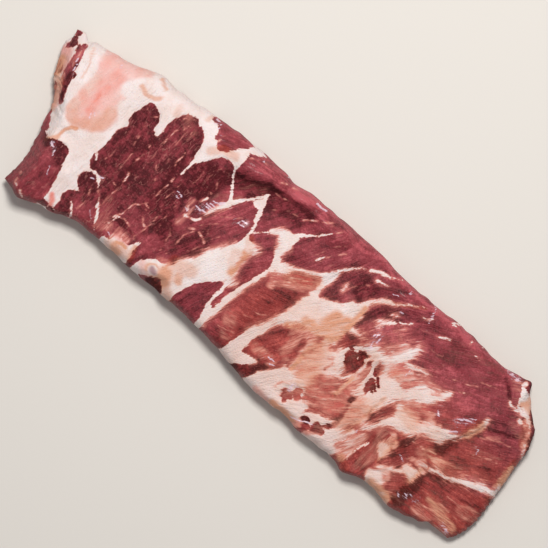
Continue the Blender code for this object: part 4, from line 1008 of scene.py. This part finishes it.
class Net:
    """Places shader nodes in a tree and joins them by short calls."""

    def __init__(self, tree):
        self.tree = tree

    def put(self, kind, inputs=(), **settings):
        node = self.tree.nodes.new(kind)
        for key, value in settings.items():
            setattr(node, key, value)
        for key, value in dict(inputs).items():
            self.feed(node.inputs[key], value)
        return node

    def feed(self, socket, value):
        if isinstance(value, bpy.types.NodeSocket):
            self.tree.links.new(value, socket)
        else:
            socket.default_value = value

    def attribute(self, name, vector=False):
        node = self.put("ShaderNodeAttribute", attribute_name=name)
        return node.outputs["Vector" if vector else "Fac"]

    def maths(self, operation, a, b=0.0, clamp=False):
        return self.put("ShaderNodeMath", {0: a, 1: b}, operation=operation, use_clamp=clamp).outputs[0]

    def add(self, a, b, clamp=False):
        return self.maths("ADD", a, b, clamp)

    def times(self, a, b, clamp=False):
        return self.maths("MULTIPLY", a, b, clamp)

    def stretch(self, vector, scale):
        return self.put("ShaderNodeVectorMath", {0: vector, 1: scale}, operation="MULTIPLY").outputs[0]

    def noise(self, vector, detail=2.0, roughness=0.5):
        node = self.put("ShaderNodeTexNoise", {"Vector": vector, "Scale": 1.0, "Detail": detail,
                                              "Roughness": roughness})
        return node.outputs["Fac"]

    def between(self, value, low, high, out_low=0.0, out_high=1.0):
        node = self.put("ShaderNodeMapRange", {"Value": value, "From Min": low, "From Max": high,
                                              "To Min": out_low, "To Max": out_high},
                        interpolation_type="SMOOTHSTEP")
        return node.outputs["Result"]

    def swing(self, noise, size):
        """A noise value turned into a swing of about plus or minus `size` round nothing."""
        return self.times(self.maths("SUBTRACT", noise, 0.5), 4.0 * size)

    def mix(self, share, a, b):
        node = self.put("ShaderNodeMix", data_type="RGBA")
        self.feed(node.inputs[0], share)
        self.feed(node.inputs[6], a)
        self.feed(node.inputs[7], b)
        return node.outputs[2]


meat = bpy.data.materials.new("raw_meat")
meat.use_nodes = True
net = Net(meat.node_tree)
shader = meat.node_tree.nodes["Principled BSDF"]

place = net.put("ShaderNodeTexCoord").outputs["Object"]
place_mm = net.stretch(place, (1000.0, 1000.0, 1000.0))
grain_place = net.attribute("grain", vector=True)
grain_next_place = net.attribute("grain_next", vector=True)
blend_in = net.attribute("blend")


def fibre_noise(scale, detail=2.0, roughness=0.5):
    """Noise drawn out along the fibres, blended where two directions meet."""
    near = net.noise(net.stretch(grain_place, scale), detail, roughness)
    other = net.noise(net.stretch(grain_next_place, scale), detail, roughness)
    return net.put("ShaderNodeMix", {0: blend_in, 2: near, 3: other}).outputs[0]


long_streak = fibre_noise((0.07, 0.46, 0.2), 3.0, 0.55)
fine_streak = fibre_noise((0.2, 1.25, 0.4), 2.0, 0.55)
broad_streak = fibre_noise((0.045, 0.2, 0.08), 2.0)
cross_grain = fibre_noise((0.9, 0.35, 0.5), 2.0)
mottle = net.noise(net.stretch(place_mm, (0.27, 0.27, 0.27)), 3.0, 0.6)
cloud = net.noise(net.stretch(place_mm, (0.09, 0.09, 0.09)), 2.0)
speck = net.noise(net.stretch(place_mm, (0.75, 0.75, 0.75)), 3.0, 0.65)

# how far into the lean a point lies, with the border frayed along the fibres
soft_in = net.attribute("soft")
fray = net.add(net.swing(long_streak, 1.0), net.swing(fine_streak, 0.7))
depth = net.add(net.attribute("lean"), net.times(fray, net.add(0.2, net.times(soft_in, 1.2))))
depth = net.add(depth, net.swing(speck, 0.4))
fat_share = net.between(net.maths("DIVIDE", depth, soft_in), -1.0, 1.0, 1.0, 0.0)
edge_run = net.maths("DIVIDE", depth, net.add(net.times(soft_in, 1.3), 0.6))
fringe = net.add(net.between(edge_run, 0.0, 1.4, 0.34, 0.0), net.between(edge_run, 0.0, 4.5, 0.16, 0.0))
fringe = net.times(fringe, net.between(soft_in, 0.3, 0.9, 0.1, 1.0))

# film: streaky where it is half see-through
pale_in = net.attribute("pale")
see_through = net.times(net.times(pale_in, net.maths("SUBTRACT", 1.0, pale_in)), 2.2)
film_streaks = net.add(net.swing(long_streak, 0.5), net.swing(fine_streak, 0.3))
film_streaks = net.add(net.swing(broad_streak, 0.5), film_streaks)
film = net.add(pale_in, net.times(film_streaks, net.add(see_through, 0.03)), clamp=True)
film = net.maths("MAXIMUM", film, fringe)
fat_lack = net.maths("SUBTRACT", 1.0, fat_share)
paleness = net.maths("SUBTRACT", 1.0, net.times(fat_lack, net.maths("SUBTRACT", 1.0, film)))

# lean: bright to wine red
dark_and_shade_in = net.attribute("dark_and_shade")
marble_in = net.attribute("marble")
smooth_grain = net.between(marble_in, 0.2, 1.0, 1.0, 0.45)
broad_tone = net.times(net.swing(broad_streak, 0.2), smooth_grain)
streak_tone = net.add(net.swing(long_streak, 0.22), net.swing(fine_streak, 0.13))
tone = net.add(dark_and_shade_in, net.add(net.swing(cloud, 0.22), broad_tone))
tone = net.add(tone, net.times(streak_tone, smooth_grain))
tone = net.add(tone, net.times(net.swing(mottle, 0.16), net.between(marble_in, 0.2, 1.0, 1.0, 1.6)))
tone = net.add(tone, net.swing(cross_grain, 0.1))
tone = net.add(tone, net.swing(speck, 0.12), clamp=True)
tan_in = net.attribute("tan")
warm = net.between(tan_in, 0.0, 0.4)
bright_red = net.mix(warm, srgb(182, 84, 93), srgb(184, 82, 72))
middle_red = net.mix(warm, srgb(134, 50, 59), srgb(138, 48, 44))
deep_red = net.mix(warm, srgb(74, 18, 25), srgb(74, 18, 15))
lean_colour = net.mix(net.between(tone, 0.0, 0.5), bright_red, middle_red)
lean_colour = net.mix(net.between(tone, 0.45, 1.0), lean_colour, deep_red)

# marbling: broken pale walls between the bundles, and flecks
drift_place = net.stretch(grain_place, (0.12, 0.25, 0.2))
drift = net.put("ShaderNodeTexNoise", {"Vector": drift_place, "Scale": 1.0, "Detail": 2.0})
warp = net.put("ShaderNodeVectorMath", {0: net.stretch(grain_place, (0.045, 0.19, 0.05)),
                                      1: net.stretch(drift.outputs["Color"], (1.1, 1.1, 1.1))},
             operation="ADD").outputs[0]
walls = net.put("ShaderNodeTexVoronoi", {"Vector": warp, "Scale": 1.0}, feature="DISTANCE_TO_EDGE",
              voronoi_dimensions="2D").outputs["Distance"]
broken = net.between(net.noise(net.stretch(place_mm, (0.13, 0.13, 0.13)), 2.0), 0.45, 0.62)
wall_mask = net.times(net.between(walls, 0.01, 0.05, 0.6, 0.0), broken)
fleck_mask = net.between(fibre_noise((0.3, 0.9, 0.3), 3.0, 0.7), 0.6, 0.72)
marbling = net.times(net.maths("MAXIMUM", wall_mask, fleck_mask), net.times(marble_in, 0.6), clamp=True)
lean_colour = net.mix(marbling, lean_colour, srgb(196, 128, 120))
grit = fibre_noise((0.7, 1.2, 0.8), 2.0)
lean_colour = net.mix(net.between(grit, 0.6, 0.76, 0.0, 0.3), lean_colour, srgb(196, 116, 112))

# fat: white to cream, with blush and tan
fat_colour = net.mix(net.between(cloud, 0.3, 0.7), srgb(231, 219, 219), srgb(225, 207, 203))
blush_in = net.attribute("blush")
blush_share = net.add(blush_in, net.times(net.swing(long_streak, 0.12), blush_in), clamp=True)
fat_colour = net.mix(blush_share, fat_colour, srgb(228, 140, 130))
tan_swing = net.times(net.swing(long_streak, 0.4), net.between(soft_in, 0.5, 1.5))
tan_share = net.times(tan_in, net.add(1.0, tan_swing), clamp=True)
fat_colour = net.mix(tan_share, fat_colour, srgb(212, 150, 122))
fat_shreds = net.add(net.swing(fine_streak, 0.3), net.swing(speck, 0.25))
fat_colour = net.mix(net.between(fat_shreds, 0.05, 0.6, 0.0, 0.5), fat_colour, srgb(214, 172, 156))
fat_colour = net.mix(net.attribute("gristle"), fat_colour, srgb(168, 134, 138))

# from lean through coral to fat
coral = net.mix(tan_in, srgb(208, 126, 116), srgb(208, 144, 116))
colour = net.mix(net.between(paleness, 0.0, 0.6), lean_colour, coral)
colour = net.mix(net.between(paleness, 0.35, 1.0), colour, fat_colour)

# painted highlight: cool shine of wet streaks painted into the base colour, with a thin coat where it lies
painted_shine_and_coat_in = net.attribute("painted_shine_and_coat")
painted_highlight_grain = net.add(net.swing(fine_streak, 0.25), net.swing(speck, 0.2))
painted_highlight = net.between(net.add(net.times(painted_shine_and_coat_in, 0.55), painted_highlight_grain), 0.45, 0.75)
colour = net.mix(net.times(painted_highlight, 0.8), colour, srgb(226, 200, 216))
net.feed(shader.inputs["Base Color"], colour)
matt = net.between(dark_and_shade_in, 0.6, 0.95, 0.0, 0.4)
net.feed(shader.inputs["Roughness"], net.add(net.between(speck, 0.3, 0.7, 0.42, 0.6), matt))
net.feed(shader.inputs["Coat Weight"], net.times(painted_shine_and_coat_in, 0.15, clamp=True))
shader.inputs["Coat Roughness"].default_value = 0.15
shader.inputs["Specular IOR Level"].default_value = 0.2
shader.inputs["Subsurface Weight"].default_value = 0.06
shader.inputs["Subsurface Radius"].default_value = (1.0, 0.35, 0.2)
shader.inputs["Subsurface Scale"].default_value = 0.0015

bump_height = net.add(net.times(long_streak, 0.7), net.times(fine_streak, 0.5))
bump_height = net.add(bump_height, net.times(speck, 0.5))
bump_height = net.add(bump_height, net.times(marbling, 0.2))
bump = net.put("ShaderNodeBump", {"Strength": 0.9, "Distance": 0.0013, "Height": bump_height})
net.feed(shader.inputs["Normal"], bump.outputs["Normal"])
rack.data.materials.append(meat)

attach(rack, "root")
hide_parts("rib_rack")

# ---------------------------------------------------------------------------------------------------
# The stage, which is no part of the rack: a pale studio floor, one soft light, and a camera straight
# above that is turned so that the rack lies aslant.
# ---------------------------------------------------------------------------------------------------
FLOOR_SIZE = 4.0
floor_mesh = bpy.data.meshes.new("floor")
half = FLOOR_SIZE / 2
floor_corners = [(-half, -half, 0), (half, -half, 0), (half, half, 0), (-half, half, 0)]
floor_mesh.from_pydata(floor_corners, [], [(0, 1, 2, 3)])
floor = bpy.data.objects.new("floor", floor_mesh)
bpy.context.collection.objects.link(floor)
floor_paint = bpy.data.materials.new("floor_paint")
floor_paint.use_nodes = True
floor_shader = floor_paint.node_tree.nodes["Principled BSDF"]
floor_shader.inputs["Base Color"].default_value = srgb(214, 210, 205)
floor_shader.inputs["Roughness"].default_value = 0.8
floor_mesh.materials.append(floor_paint)
FLOOR_GAP = 0.0005      # the floor lies just under the rack
floor.location.z = -FLOOR_GAP

world = bpy.data.worlds.new("studio")
world.use_nodes = True
background = world.node_tree.nodes["Background"]
background.inputs["Color"].default_value = (0.97, 0.96, 0.96, 1.0)
background.inputs["Strength"].default_value = 0.33
bpy.context.scene.world = world


def soft_light(name, place, size, power, colour):
    """A square soft box at `place`, aimed at the middle of the rack."""
    lamp = bpy.data.lights.new(name, "AREA")
    lamp.size = size
    lamp.energy = power
    lamp.color = colour
    box = bpy.data.objects.new(name, lamp)
    box.location = place
    box.rotation_euler = (-box.location).to_track_quat("-Z", "Y").to_euler()
    bpy.context.collection.objects.link(box)


soft_light("key", (-0.25, 0.55, 1.5), 0.35, 24.0, (1.0, 0.97, 0.93))

VIEW_TURN = math.radians(42.0)
VIEW_WIDTH = 0.3863
LENS = 200.0
SENSOR = 36.0
VIEW_CENTRE = (-0.0020, 0.0082)
VIEW_HEIGHT = 0.016
camera_data = bpy.data.cameras.new("camera")
camera_data.lens = LENS
camera_data.sensor_width = SENSOR
camera = bpy.data.objects.new("camera", camera_data)
camera.location = (VIEW_CENTRE[0], VIEW_CENTRE[1], VIEW_HEIGHT + VIEW_WIDTH * LENS / SENSOR)
camera.rotation_euler = (0.0, 0.0, VIEW_TURN)
bpy.context.collection.objects.link(camera)
bpy.context.scene.camera = camera
bpy.context.scene.view_settings.view_transform = "Standard"
